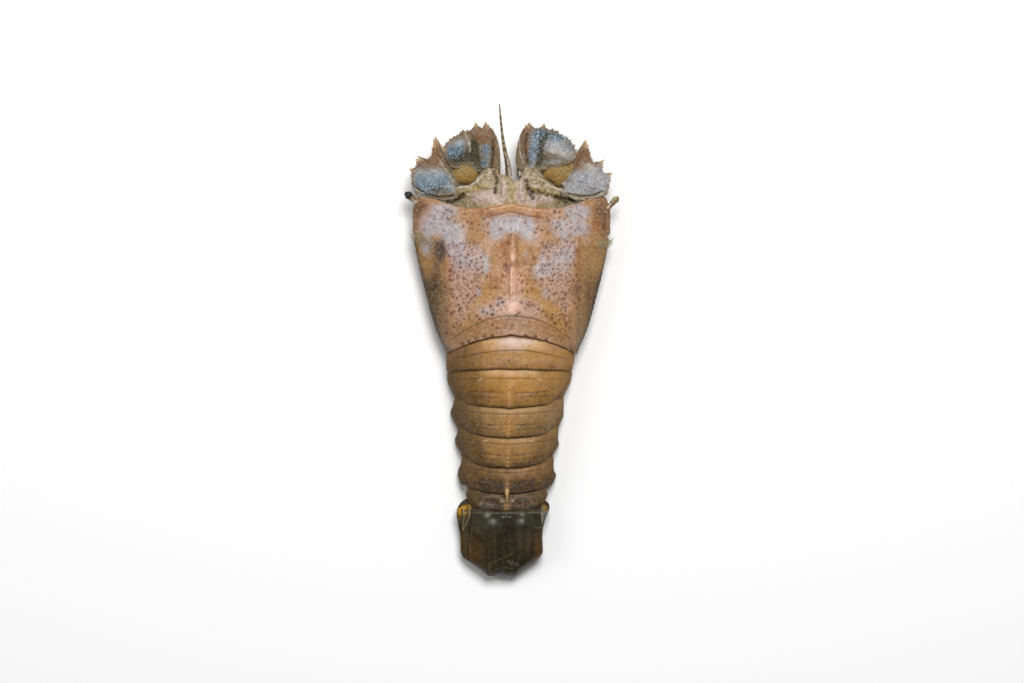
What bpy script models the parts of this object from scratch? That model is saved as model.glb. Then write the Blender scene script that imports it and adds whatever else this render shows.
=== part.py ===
"""A whole slipper lobster lying on its belly, head towards +Y, its tail fan curled under.

Every hard plate of the shell is its own solid: the carapace, the breast plate, six tail rings,
the telson and its four paddles, the antenna plates, the antennules, the eyes and the legs.
Sizes are in millimetres and become metres where a mesh is made. The origin lies on the flat
spot of the breast plate, midway along the animal, and Z = 0 is the surface that it lies on.
"""

import math

import bmesh
import bpy
import numpy as np

MM = 0.001
GAP = 0.45  # kept between two solids that meet

# Carapace: a broad shield, flat on top, with a sharp side edge.
FRONT_Y = 55.2  # front edge on the centre line
REAR_Y = 1.8  # rear edge on the centre line
FLANK = [(-6.0, 26.2), (4.0, 30.3), (19.0, 34.5), (32.0, 37.6), (46.0, 39.4), (54.0, 39.2), (58.5, 37.4)]
RIDGE_HEIGHT = [(-6.0, 27.0), (12.0, 28.4), (27.0, 27.2), (42.0, 23.6), (58.0, 18.6)]
EDGE_HEIGHT = [(-6.0, 9.8), (15.0, 10.2), (58.0, 12.0)]
BELLY_Z = 9.0
EDGE_THICKNESS = 1.3
KEEL = {"height": 1.1, "width": 1.3, "from": 15.0, "to": 44.0}
SHOULDER = {"at": 0.74, "height": 0.9, "width": 0.09}  # the ridge along each flank

# Breast plate between the legs, whose flat underside carries the body.
BREAST = {"rear": -6.0, "front": 40.0, "half_rear": 9.4, "half_front": 7.6, "top": 8.6}

# Tail rings: rear edge on the centre line, how far its sides run forward, half width at the
# front and rear, height of the back, height of the side lobes' tips and of the underside.
RINGS = [
    {"rear": -11.6, "bow": -0.8, "front_half": 26.2, "rear_half": 25.6, "back": 26.3, "lobe": 6.0, "under": 9.4},
    {"rear": -26.8, "bow": 2.2, "front_half": 26.0, "rear_half": 21.0, "back": 25.4, "lobe": 3.0, "under": 5.2},
    {"rear": -38.8, "bow": 3.0, "front_half": 24.0, "rear_half": 20.4, "back": 23.8, "lobe": 2.6, "under": 5.2},
    {"rear": -50.8, "bow": 3.6, "front_half": 22.0, "rear_half": 17.8, "back": 21.8, "lobe": 2.8, "under": 5.6},
    {"rear": -61.5, "bow": 3.4, "front_half": 20.2, "rear_half": 17.4, "back": 19.2, "lobe": 3.6, "under": 6.6},
    {"rear": -68.4, "bow": 0.0, "front_half": 16.8, "rear_half": 15.0, "back": 16.2, "lobe": 7.0, "under": 8.6},
]
LEAN = [(-95.0, -2.4), (-68.0, -2.0), (-45.0, -1.4), (-20.0, -0.8), (5.0, 0.0)]  # the tail curves to one side
CARAPACE_BOW = -5.8  # the carapace's rear edge runs back at its sides
BOW_HALF = 23.0
# Along each ring: how far its surface stands above or below an even arch, front to rear.
RING_LIFT = [(0.0, -1.2), (0.18, -0.2), (0.4, 0.1), (0.56, 0.1), (0.65, -0.4), (0.78, 0.2), (0.94, 0.5), (1.0, 0.1)]
TAIL_SPINE = {"length": 2.6, "half_width": 1.1}

# Tail fan: sheets that run back from the last ring, roll under and lie forward again.
FAN_START_Y = -68.8
FAN_START_Z = 15.65
FAN_SLOPE = math.radians(12.0)
FAN_RUN = 21.5
FAN_TUCK = 20.0
FAN_LEAN = -2.2  # how far the fan swings to one side by the time it folds
# Each sheet: how far it lies below the telson, its thickness and fold radius, its left and right
# edges, how much wider it is where it starts, and how much shorter it is than the telson.
SHEETS = {
    "telson": {"below": 0.0, "thick": 1.4, "roll": 5.3, "span": (-14.8, 14.8), "flare": -0.1, "short": 0.0},
    "paddle_inner_left": {"below": 2.2, "thick": 1.0, "roll": 3.3, "span": (-19.4, -3.2), "flare": 0.06, "short": 1.0},
    "paddle_inner_right": {"below": 2.2, "thick": 1.0, "roll": 3.3, "span": (3.2, 16.0), "flare": 0.1, "short": 1.0},
    "paddle_outer_left": {"below": 3.8, "thick": 0.9, "roll": 1.6, "span": (-18.2, -7.0), "flare": 0.1, "short": 4.0},
    "paddle_outer_right": {"below": 3.8, "thick": 0.9, "roll": 1.6, "span": (7.0, 15.0), "flare": 0.14, "short": 4.0},
}

# Antenna plates, measured round the hinge that each one turns on: (angle in degrees, radius)
# of each tooth tip and notch along the rim, for the right side. The left side mirrors them.
FAN_HINGE = (8.6, 67.2)
FAN_RIM = [
    (18, 17.2), (23, 18.6), (27, 19.6), (31, 18.7), (35, 19.8), (39, 18.8), (43, 19.8),
    (47, 18.6), (51, 19.8), (56, 18.6), (62, 20.2), (69, 18.2), (76, 20.4), (81, 18.4), (86, 19.2),
    (90, 18.8), (95, 19.9), (100, 17.9), (106, 17.4), (116, 13.8), (126, 11.4), (138, 9.4), (150, 8.0), (168, 6.0),
]
OUTER_HINGE = (19.4, 61.0)
OUTER_RIM = [
    (-30, 7.4), (-20, 11.6), (-12, 16.4), (-6, 18.6), (0, 18.4), (5, 19.8), (10, 18.9), (16, 21.8),
    (21, 18.2), (27, 18.4), (34, 20.4), (39, 17.4), (46, 16.6), (53, 17.6), (59, 20.6), (63, 16.4),
]
JOINT_RIM = [(13.4, 67.4), (24.4, 71.2), (20.5, 63.9), (14.8, 63.4)]
# The head sits a little askew, so the left plates are mirrored with a shift and a turn.
SIDES = {
    "left": {"sign": -1.0, "fan_shift": -2.6, "outer_shift": -1.1, "turn": 7.0},
    "right": {"sign": 1.0, "fan_shift": 0.0, "outer_shift": 0.0, "turn": 0.0},
}

# Walking legs, folded under the shield: where each leaves the breast plate and how far its
# knee is out to the side and along from there.
LEG_ROOT_X = 10.4
LEG_PITCH = 8.6
LEG_FIRST_Y = 37.0
KNEES = [(29.6, 2.2), (29.2, 1.0), (28.0, -0.2), (26.0, -1.2), (23.4, -1.6)]

FACE = {"half": 26.0, "side_y": 58.2, "front_y": 66.0, "top": 16.6, "end_top": 10.4, "bottom": 8.0}
EYE_ROOT = {"left": (38.3, 55.4, 12.4), "right": (38.8, 53.2, 12.4)}
EYE_WAY = (0.70, 0.71, 0.08)
GLOSS = 0.34


def clear_scene():
    for obj in list(bpy.data.objects):
        bpy.data.objects.remove(obj)


def finish_of(name, colour, roughness=GLOSS):
    """A shell material: one colour in linear RGB, no metal."""
    made = bpy.data.materials.new(name)
    made.use_nodes = True
    shader = made.node_tree.nodes["Principled BSDF"]
    shader.inputs["Base Color"].default_value = (*colour, 1.0)
    shader.inputs["Roughness"].default_value = roughness
    shader.inputs["Metallic"].default_value = 0.0
    return made


def link(name, data, finish):
    obj = bpy.data.objects.new(name, data)
    obj.data.materials.append(finish)
    bpy.context.scene.collection.objects.link(obj)
    return obj


def along(stations, where):
    """The value at a place, read off (place, value) stations."""
    places, values = zip(*stations)
    return np.interp(where, places, values)


def points(x, y, z):
    """A grid of points from three arrays that fit one another's shape."""
    return np.stack(np.broadcast_arrays(x, y, z), axis=-1)


def slab(name, upper, lower, finish):
    """A closed solid between two matching grids of points, walled round the rim."""
    rows, columns = upper.shape[:2]
    mesh = bmesh.new()
    grids = [[[mesh.verts.new(point * MM) for point in row] for row in grid] for grid in (upper, lower)]
    for grid in grids:
        for row in range(rows - 1):
            for col in range(columns - 1):
                mesh.faces.new(
                    (grid[row][col], grid[row][col + 1], grid[row + 1][col + 1], grid[row + 1][col])
                )
    rims = []
    for grid in grids:
        rim = grid[0] + [row[-1] for row in grid[1:]] + grid[-1][-2::-1]
        rims.append(rim + [row[0] for row in grid[-2:0:-1]])
    for here in range(len(rims[0])):
        after = (here + 1) % len(rims[0])
        mesh.faces.new((rims[0][here], rims[0][after], rims[1][after], rims[1][here]))
    bmesh.ops.recalc_face_normals(mesh, faces=mesh.faces)
    data = bpy.data.meshes.new(name)
    mesh.to_mesh(data)
    mesh.free()
    obj = link(name, data, finish)
    obj.data.shade_smooth()
    obj.data.set_sharp_from_angle(angle=math.radians(38))
    return obj


def limb(name, path, radii, finish, sides=2):
    """A round limb: a tube along a path whose radius changes from point to point."""
    curve = bpy.data.curves.new(name, "CURVE")
    curve.dimensions = "3D"
    curve.bevel_depth = MM
    curve.bevel_resolution = sides
    curve.use_fill_caps = True
    spline = curve.splines.new("POLY")
    spline.points.add(len(path) - 1)
    for point, place, radius in zip(spline.points, path, radii):
        point.co = (*[value * MM for value in place], 1.0)
        point.radius = radius
    return link(name, curve, finish)


def front_edge(x):
    """Y of the carapace's front edge: a shallow hollow each side of the centre."""
    side = np.abs(x)
    return FRONT_Y - 2.9 * np.sin(np.pi * np.minimum(side / 31.0, 1.0)) + 2.0 * (side / 36.0) ** 3


def bowed(rear, bow, x):
    """Y of an edge that crosses the back at rear and has run forward by bow at BOW_HALF."""
    return rear + bow * (np.abs(x) / BOW_HALF) ** 2


def carapace_top(x, y):
    """Height of the shield: a flat-topped arch between its sharp side edges, with a keel."""
    across = np.clip(np.abs(x) / along(FLANK, y), 0.0, 1.0)
    edge = along(EDGE_HEIGHT, y)
    height = edge + (along(RIDGE_HEIGHT, y) - edge) * (1.0 - across**2.4) ** 0.62
    height += SHOULDER["height"] * np.exp(-(((across - SHOULDER["at"]) / SHOULDER["width"]) ** 2))
    ends = np.clip((y - KEEL["from"]) / 3.0, 0, 1) * np.clip((KEEL["to"] - y) / 3.0, 0, 1)
    return height + KEEL["height"] * ends * np.exp(-((x / KEEL["width"]) ** 2))


def build_carapace(finish, columns=27, rows=14):
    across = np.sin(np.linspace(-1.0, 1.0, columns) * math.pi / 2)[None, :]
    run = np.linspace(0.0, 1.0, rows)[:, None]
    x = across * 30.0 * np.ones_like(run)
    for _ in range(4):  # the width depends on Y and Y on X, so they are settled in turn
        y = bowed(REAR_Y, CARAPACE_BOW, x) * (1 - run) + front_edge(x) * run
        x = across * along(FLANK, y)
    top = points(x, y, carapace_top(x, y))
    floor = BELLY_Z + (along(EDGE_HEIGHT, y) - EDGE_THICKNESS - BELLY_Z) * np.abs(across) ** 2
    return slab("carapace", top, points(x * 0.995, y, floor), finish)


def build_breast_plate(finish, columns=7, rows=7):
    run = np.linspace(0.0, 1.0, rows)[:, None]
    half = BREAST["half_rear"] * (1 - run) + BREAST["half_front"] * run
    x = np.linspace(-1.0, 1.0, columns)[None, :] * half
    y = BREAST["rear"] + (BREAST["front"] - BREAST["rear"]) * run + 0 * x
    upper = points(x, y, BREAST["top"])
    bevel = 2.2 * np.clip((np.abs(x) / half - 0.7) / 0.3, 0, 1) ** 2
    bevel = np.maximum(bevel, 1.6 * np.clip((run - 0.84) / 0.16, 0, 1))
    return slab("breast_plate", upper, points(x * 0.97, y, bevel), finish)


def ring_arch(angle, half):
    """X and Z round a ring, from one side lobe's tip over the back to the other."""
    x = half * np.sign(np.sin(angle)) * np.abs(np.sin(angle)) ** 0.86
    rise = (np.abs(np.cos(angle)) + 1e-9) ** 0.78
    return x, rise


def build_ring(number, finish, columns=19):
    ring = RINGS[number]
    before = RINGS[number - 1] if number else {"rear": REAR_Y, "bow": CARAPACE_BOW}
    angle = np.linspace(-math.pi / 2, math.pi / 2, columns)[None, :]
    run = np.array([place for place, _ in RING_LIFT])[:, None]
    lift = np.array([height for _, height in RING_LIFT])[:, None]
    half = ring["front_half"] + (ring["rear_half"] - ring["front_half"]) * run**2
    x, rise = ring_arch(angle, half)
    start = bowed(before["rear"], before["bow"], x) - GAP
    y = start + (bowed(ring["rear"], ring["bow"], x) - start) * run
    middle = along(LEAN, y)
    back = ring["lobe"] + (ring["back"] + lift - ring["lobe"]) * rise
    top = points(x * (1 + lift / 40.0) + middle, y, back)
    inner_x = ring_arch(angle, half - 2.0)[0] + middle
    under = ring["lobe"] + (ring["under"] - ring["lobe"]) * rise
    return slab(f"tail_ring_{number + 1}", top, points(inner_x, y, under), finish)


def build_tail_spine(finish):
    """The sharp spine that the fifth ring carries at the middle of its rear edge."""
    ring = RINGS[4]
    x, y, z = float(along(LEAN, ring["rear"])), ring["rear"] - GAP, ring["back"] - 0.8
    path = [(x, y, z), (x, y - TAIL_SPINE["length"], z - 0.4)]
    return limb("tail_spine", path, [TAIL_SPINE["half_width"], 0.25], finish)


def fan_path(sheet, across, run):
    """Y and Z of a tail sheet: a straight run back, a half turn, and a tuck forward.

    The run is shorter away from the centre line, so that the fold is pointed in plan.
    """
    outward = np.clip((np.abs(across) - 0.24) / 0.76, 0.0, 1.6)
    straight = FAN_RUN - 8.4 * outward**1.15 - sheet["short"] * 0.2
    turn = (math.pi - FAN_SLOPE) * sheet["roll"]
    tuck = FAN_TUCK - sheet["short"] - 4.0 * np.abs(across) ** 2
    s = run * (straight + turn + tuck)
    back = np.minimum(s, straight)
    angle = FAN_SLOPE + np.clip(s - straight, 0, turn) / sheet["roll"]
    ahead = np.clip(s - straight - turn, 0, None)
    y = FAN_START_Y - back * math.cos(FAN_SLOPE) - sheet["roll"] * (np.sin(angle) - math.sin(FAN_SLOPE)) + ahead
    drop = back * math.sin(FAN_SLOPE) + sheet["roll"] * (math.cos(FAN_SLOPE) - np.cos(angle))
    normal = np.where(ahead > 0, math.pi, angle)
    return y, FAN_START_Z - sheet["below"] - drop, normal


def build_sheet(name, sheet, finish, columns=7, rows=16):
    run = np.linspace(0.0, 1.0, rows)[:, None]
    flat_x = np.linspace(*sheet["span"], columns)[None, :]
    across = flat_x / SHEETS["telson"]["span"][1]
    spread = 1.0 + sheet["flare"] * np.clip(1 - run / 0.3, 0, 1)
    y, z, angle = fan_path(sheet, across, run)
    straightened = FAN_START_Z - sheet["below"] - SHEETS["telson"]["thick"]
    z = z - 2.0 * across**2 * np.clip((z - 5.0) / (straightened - 5.0), 0, 1)
    x = along(LEAN, FAN_START_Y) + flat_x * spread + FAN_LEAN * np.clip((FAN_START_Y - y) / 26.0, 0, 1)
    half = sheet["thick"] / 2
    step_y = -np.sin(angle) * half
    step_z = np.cos(angle) * half
    upper = points(x, y + step_y, z + step_z)
    lower = points(x, y - step_y, z - step_z)
    return slab(name, upper, lower, finish)


def build_plate(name, hinge, rim, side, shift, turn, base_z, finish, inner=1.8, thick=2.0, rings=4):
    """A toothed antenna plate: rings round its hinge, out to the teeth, a little dished."""
    angles, radii = zip(*rim)
    angle = np.radians(np.array(angles) + turn)[None, :]
    smooth = np.convolve(np.pad(radii, 3, mode="edge"), np.ones(7) / 7, mode="valid")[None, :]
    share = np.linspace(0.0, 1.0, rings)[:, None]
    reach = inner + (smooth - inner) * share
    reach[-1] = radii
    x = side * (hinge[0] + reach * np.cos(angle)) + shift
    y = hinge[1] + reach * np.sin(angle)
    dish = base_z + 0.4 * share + 1.2 * share**2
    thickness = thick * (1.0 - 0.45 * share)
    return slab(name, points(x, y, dish + thickness / 2), points(x, y, dish - thickness / 2), finish)


def build_antenna_joint(name, side, shift, finish):
    """The smooth joint between an outer plate and its fan."""
    corners = np.array(JOINT_RIM)
    across = np.linspace(0.0, 1.0, 4)[:, None, None]
    far = corners[0] + (corners[1] - corners[0]) * across
    near = corners[3] + (corners[2] - corners[3]) * across
    place = near + (far - near) * np.linspace(0.0, 1.0, 4)[None, :, None]
    x, y = side * place[..., 0] + shift, place[..., 1]
    return slab(name, points(x, y, 13.9), points(x, y, 12.3), finish)


def build_face(finish, columns=17, rows=6):
    """The front of the head: full in the middle, its ends running in under the outer plates."""
    x = np.linspace(-FACE["half"], FACE["half"], columns)[None, :] + np.zeros((rows, 1))
    run = np.linspace(0.0, 1.0, rows)[:, None]
    start = front_edge(x) + GAP
    stop = FACE["side_y"] + (FACE["front_y"] - FACE["side_y"]) * np.cos(np.pi * x / FACE["half"] / 2.0)
    y = start + (stop - start) * run
    under_plates = np.clip((np.abs(x) - 9.0) / 8.0, 0.0, 1.0)
    top = FACE["top"] - 3.6 * run**1.5 - (FACE["top"] - FACE["end_top"] - 3.6 * run**1.5) * under_plates
    bottom = FACE["bottom"] + 1.0 * run + 0 * x
    return slab("face", points(x, y, top), points(x, y, bottom), finish)


def build_antennules(finish):
    tip = [(-2.9, 79.0, 16.0), (-3.5, 84.0, 16.4), (-4.1, 89.0, 17.0), (-4.8, 94.4, 17.6)]
    path = [(-1.0, 66.4, 13.4), (-1.3, 70.0, 14.4), (-2.0, 74.0, 15.4), *tip]
    limb("antennule_left", path, [1.3, 1.2, 0.95, 0.8, 0.7, 0.55, 0.3], finish)
    path = [(1.4, 65.6, 15.8), (1.6, 68.4, 17.0), (1.0, 71.4, 17.6), (0.2, 74.0, 18.2)]
    limb("antennule_right", path, [1.1, 1.0, 0.6, 0.3], finish)


def build_eye(side_name, side, finish):
    """A short stalk out of the shield's front corner, ending in the round eye."""
    start, away = np.array(EYE_ROOT[side_name]), np.array(EYE_WAY)
    reach = [0.6, 2.2, 3.0, 3.5, 4.3, 5.1, 5.8, 6.2]
    radii = [1.0, 1.05, 1.1, 1.55, 1.85, 1.7, 1.15, 0.3]
    path = [tuple((start + away * far) * np.array([side, 1.0, 1.0])) for far in reach]
    limb(f"eye_{side_name}", path, radii, finish, sides=3)


def build_legs(side_name, side, finish):
    for number, (knee_x, knee_y) in enumerate(KNEES):
        root_y = LEG_FIRST_Y - LEG_PITCH * number
        out = knee_x - LEG_ROOT_X
        path = [
            (LEG_ROOT_X, root_y, 5.9),
            (LEG_ROOT_X + 0.1 * out, root_y, 6.0),
            (LEG_ROOT_X + 0.16 * out, root_y + 0.1 * knee_y, 6.1),
            (LEG_ROOT_X + 0.45 * out, root_y + 0.35 * knee_y, 6.2),
            (LEG_ROOT_X + 0.76 * out, root_y + 0.8 * knee_y, 6.1),
            (LEG_ROOT_X + 0.93 * out, root_y + knee_y, 5.3),
            (knee_x, root_y + knee_y, 3.8),
            (LEG_ROOT_X + 0.95 * out, root_y + knee_y, 2.2),
            (LEG_ROOT_X + 0.78 * out, root_y + 0.9 * knee_y, 1.5),
            (LEG_ROOT_X + 0.4 * out, root_y + 0.6 * knee_y, 1.3),
            (LEG_ROOT_X + 0.08 * out, root_y + 0.4 * knee_y, 1.1),
        ]
        path = [(side * x, y, z) for x, y, z in path]
        radii = [2.9, 2.8, 2.3, 2.6, 2.3, 2.0, 1.8, 1.5, 1.45, 1.2, 0.35]
        limb(f"leg_{side_name}_{number + 1}", path, radii, finish)


def build_jaw_leg(side_name, side, finish):
    """One of the two jaw legs that close over the mouth."""
    path = [(side * 3.4, 41.0, 4.4), (side * 3.6, 47.0, 4.8), (side * 3.2, 52.0, 5.6), (side * 2.2, 55.5, 6.4)]
    limb(f"jaw_leg_{side_name}", path, [2.6, 2.4, 1.8, 0.8], finish)


def build_lobster():
    clear_scene()
    shell = finish_of("shell", (0.42, 0.24, 0.13))
    tail = finish_of("tail_shell", (0.34, 0.19, 0.07))
    leather = finish_of("fan_leather", (0.045, 0.03, 0.015))
    plate = finish_of("plate_shell", (0.28, 0.26, 0.24), roughness=0.5)
    limbs = finish_of("limb_shell", (0.36, 0.24, 0.09))
    belly = finish_of("belly_shell", (0.5, 0.4, 0.24), roughness=0.45)
    build_carapace(shell)
    build_breast_plate(belly)
    for number in range(len(RINGS)):
        build_ring(number, tail)
    build_tail_spine(limbs)
    for name, sheet in SHEETS.items():
        build_sheet(name, sheet, leather)
    build_face(belly)
    build_antennules(limbs)
    for side_name, side in SIDES.items():
        sign, turn = side["sign"], side["turn"]
        name = f"antenna_fan_{side_name}"
        build_plate(name, FAN_HINGE, FAN_RIM, sign, side["fan_shift"], turn, 12.6, plate)
        name = f"antenna_plate_{side_name}"
        build_plate(name, OUTER_HINGE, OUTER_RIM, sign, side["outer_shift"], 0.0, 12.2, plate)
        build_antenna_joint(f"antenna_joint_{side_name}", sign, side["outer_shift"], limbs)
        build_eye(side_name, sign, limbs)
        build_legs(side_name, sign, limbs)
        build_jaw_leg(side_name, sign, limbs)


build_lobster()
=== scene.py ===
"""Looks of a whole raw slipper lobster, laid on its belly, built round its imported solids.

Lengths inside the shape functions are millimetres: +Y runs towards the head, +Z up, and X = 0 is
the line of the keel. A mesh becomes metres when it is made.
"""

import math

import bpy
import numpy as np
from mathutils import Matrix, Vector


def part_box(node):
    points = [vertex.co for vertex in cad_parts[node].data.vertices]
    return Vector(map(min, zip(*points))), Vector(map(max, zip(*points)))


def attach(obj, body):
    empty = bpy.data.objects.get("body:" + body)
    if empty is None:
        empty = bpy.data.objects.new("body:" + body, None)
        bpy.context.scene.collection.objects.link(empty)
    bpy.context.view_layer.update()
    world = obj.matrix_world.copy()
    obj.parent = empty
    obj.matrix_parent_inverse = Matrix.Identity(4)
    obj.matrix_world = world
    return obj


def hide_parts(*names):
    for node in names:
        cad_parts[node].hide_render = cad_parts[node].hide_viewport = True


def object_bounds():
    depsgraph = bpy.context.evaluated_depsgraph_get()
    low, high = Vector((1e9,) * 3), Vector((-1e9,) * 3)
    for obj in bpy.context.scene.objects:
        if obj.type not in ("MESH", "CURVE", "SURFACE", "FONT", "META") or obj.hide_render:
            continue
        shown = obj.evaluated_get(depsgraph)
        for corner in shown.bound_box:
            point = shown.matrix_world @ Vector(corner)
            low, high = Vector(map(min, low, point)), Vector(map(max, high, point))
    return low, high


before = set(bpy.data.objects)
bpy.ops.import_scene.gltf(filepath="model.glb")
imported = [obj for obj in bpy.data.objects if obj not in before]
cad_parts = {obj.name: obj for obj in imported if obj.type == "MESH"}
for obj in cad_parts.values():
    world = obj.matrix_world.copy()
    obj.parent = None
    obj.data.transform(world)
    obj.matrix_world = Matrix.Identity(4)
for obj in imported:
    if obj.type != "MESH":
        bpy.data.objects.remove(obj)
cad_low, cad_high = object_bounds()

# --------------------------------------
# Carapace. The broad shield over head and chest is one plate of chitin about a millimetre
# thick, grown in one piece. It is flat on top, folds down along a ridge on each flank to a
# sharp side edge, and grooves mark off the stomach, the gills and the rear rim.

MM = 0.001
# Along Y: half width, height of the flank ridge and of the side edge. In plan: the grooves and
# where the pitted fields begin and end, for the right side, and the largest single pits.
SHIELD_FLANK = [
    (-8, 25.6), (-6, 26.2), (4, 30.3), (19, 34.5), (32, 37.6), (40, 39), (46, 39.5), (54, 39.1),
    (58.5, 37),
]
SHIELD_RIDGE = [(-8, 26.8), (-6, 27), (12, 28.4), (27, 27.2), (42, 23.6), (58, 18.6)]
SHIELD_EDGE = [(-8, 9.8), (15, 10.2), (58, 12)]
SHIELD_FRONT, SHIELD_REAR, SHIELD_BOW = 55.2, 1.8, -5.8
CERVICAL_GROOVE = [
    (39.5, 41.4), (33, 40.6), (26, 41), (19, 40), (14.5, 37.4), (11, 33.6), (8, 30.5), (3.5, 29.2),
    (0, 29.2),
]
HEART_FURROW = [(1.5, 28), (4.5, 23.5), (8.5, 19.6), (12.5, 15.5), (16, 11), (18.5, 5)]
PITTED_FROM = [
    (-2, 21.5), (3, 19.5), (8, 18.2), (13, 16.2), (18, 13.4), (24, 10.6), (28, 9.4), (32, 10.4),
    (37, 11.6), (41, 15),
]
PITTED_TO = [(-2, 23), (8, 22.4), (18, 23.2), (28, 24.2), (36, 25), (41, 25.5)]
REAR_PITS = [
    (-19.5, -1.5), (-17.1, -0.7), (-14.1, 0.4), (-11, 1.2), (-7.8, 1.4), (5.7, 1.6), (9.7, 1.2), (13.7, 0),
]
LOW_PITS = [
    (-3.5, 14.8), (-5.4, 13.7), (-5, 16.1), (-8.4, 13.4), (-11.4, 11), (-7.8, 9.9), (-9.7, 10.5),
    (-12.6, 8.1), (-13.9, 9.5), (3.9, 14.7), (6.5, 13.7), (8.3, 13.7), (10.7, 12), (14, 9.4), (16.3, 8.4),
    (17.4, 6.2), (21.7, 5.7), (20.4, 10), (21.4, 12.7),
]
# Patches of colour on the shield: (centre, half size, how strongly). The grey ones are partly a pale
# bloom and partly a painted reflection of the soft light on the wet shell.
SHIELD_PATCHES = {
    "tan": [
        ((34, 42), (4.6, 9), 1), ((31, 32), (4, 8), 0.8), ((-35, 34), (4, 10), 0.8),
        ((29.5, 30), (3, 6), 0.6), ((-15, 43.5), (3, 5), 0.9), ((-17.5, 37.5), (3.4, 2.2), 0.7),
        ((14.5, 38.5), (3, 2), 0.5), ((-16, 3.5), (9, 4.5), 0.75), ((27.5, 8), (2.4, 8), 0.7),
    ],
    "rose": [
        ((0, 12.5), (15, 4), 0.6), ((0, 10.4), (12, 3), 0.6), ((-18.5, 25), (5, 8.5), 0.95),
        ((-15, 33), (4.5, 4), 0.6), ((17.5, 25), (6, 9), 0.8), ((21.5, 16), (3, 6), 0.5),
        ((-18.5, 15.5), (4.5, 5), 0.55), ((0, 13.5), (8.5, 3.4), 0.75), ((3, 23), (2, 6), 0.6),
        ((-34.5, 48.5), (3.4, 4), 0.7), ((3, 51), (9, 2.2), 0.4), ((17, 50.5), (3, 3.4), 0.6),
        ((29.5, 41.5), (3, 3.5), 0.8), ((9, 40.5), (4, 4), 0.5), ((-9, 38.5), (2.5, 3.5), 0.3),
        ((29.5, 49.5), (1.6, 5), 0.5), ((0, 3.5), (7, 2.4), 0.3),
    ],
    "gold": [
        ((6, 18.5), (3.4, 2.4), 0.8), ((-9, 19.5), (3, 2.6), 0.6), ((17.5, 10.5), (4, 3), 0.9),
        ((9, 32.5), (2, 3), 0.3), ((-7, 31), (1.6, 4), 0.7), ((3.4, 36), (1.5, 3.5), 0.5),
        ((0, 52.6), (9, 1.5), 0.75), ((20.5, 4.5), (4, 3.5), 0.8), ((10, 50.3), (2.4, 2), 0.6),
        ((-13, 48.5), (2.4, 2.6), 0.7), ((31.5, 47), (2, 3.5), 0.6), ((-2, 20), (2, 3), 0.4),
    ],
    "grey": [
        ((-29, 46), (5.6, 4), 1.5), ((-24, 39), (4, 4), 0.7), ((0.5, 46.5), (7, 3.4), 0.7),
        ((0, 14.8), (5, 2.4), 0.35), ((-27.6, 51.8), (5, 2.4), 1.3), ((-21.8, 42.6), (3.6, 3.6), 1),
        ((-21.5, 36), (3, 3.2), 0.85), ((-17.5, 30.5), (4, 2.6), 0.6), ((-9.8, 31), (1.7, 4.2), 0.75),
        ((-34, 38), (2.4, 4.4), 0.75), ((-33.8, 44), (2.4, 3), 0.35), ((26, 50.6), (4.6, 3.2), 1.3),
        ((26.5, 44.6), (4.4, 2.6), 0.95), ((18.6, 45.6), (3.6, 3), 0.9), ((22.5, 41), (4, 2.4), 0.55),
        ((21.5, 34), (3.4, 3.6), 0.65), ((16, 30), (4.5, 4), 0.5), ((11, 27.5), (2.4, 3.6), 0.65),
        ((-4.5, 46), (5, 2.6), 1), ((-6.8, 42), (3, 2.6), 0.7), ((5, 45.8), (5, 3), 1),
        ((7, 42), (3, 2.4), 0.7), ((-9.5, 11.6), (3.4, 1.8), 0.7), ((-4.4, 14.6), (2.2, 1.4), 0.6),
        ((-12.8, 18.8), (1.6, 2), 0.5), ((13.2, 18.6), (2.2, 2.6), 0.55), ((5.4, 33.6), (1, 1.8), 0.5),
    ],
    "rust": [
        ((-7.4, 25), (1.6, 3.6), 0.95), ((-2.4, 28.6), (1.2, 2), 0.9), ((2.4, 28.6), (1, 1.8), 0.5),
        ((-3, 36.5), (1.6, 4.2), 0.6), ((4, 40), (1.8, 2.4), 0.45), ((10.6, 49.4), (1.8, 2), 0.6),
        ((33.6, 46.2), (1.8, 3.2), 0.8), ((-24.6, 28.5), (1.7, 4.6), 0.8), ((6.6, 24), (1.6, 3.4), 0.45),
        ((26, 31), (1.1, 8), 0.65), ((-4, 22.8), (1.4, 2), 0.5), ((-10.5, 51.6), (3, 1), 0.5),
    ],
    "brown": [
        ((35.6, 52), (3.4, 4.6), 1.15), ((37, 45), (1.2, 5), 1), ((-37.6, 51), (2, 5.5), 0.8),
        ((-35.4, 53.2), (3.4, 2.6), 0.9), ((26, 19.5), (1.8, 6.5), 0.6), ((-12, 50.4), (3, 1.6), 0.35),
        ((-38.4, 35), (1.4, 9), 0.8), ((22.5, -3), (3, 1.6), 0.5),
    ],
    "umber": [
        ((-30, 27), (2.4, 6), 0.45), ((-37.5, 25.5), (2, 6), 0.35), ((24, -4.3), (1.6, 1), 0.9),
        ((-24.8, -4.3), (1.8, 1.1), 0.9),
    ],
    "dark": [
        ((-27.9, 35.4), (2.2, 3.8), 1.2), ((-30.2, 37.4), (3, 4), 0.6), ((-30, 30.5), (2.6, 4), 0.35),
    ],
}


def through(stations, where):
    """A smooth curve through (place, value) stations.

    Between two stations runs a cubic whose slope at each end is the mean slope round it.
    """
    places, values = np.array(stations, float).T
    slopes = np.gradient(values, places)
    where = np.clip(where, places[0], places[-1])
    i = np.clip(np.searchsorted(places, where, side="right") - 1, 0, len(places) - 2)
    span = places[i + 1] - places[i]
    t = (where - places[i]) / span
    ends = values[i] * (1 + 2 * t) * (1 - t) ** 2 + values[i + 1] * t * t * (3 - 2 * t)
    return ends + span * t * (1 - t) * (slopes[i] * (1 - t) - slopes[i + 1] * t)


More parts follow.
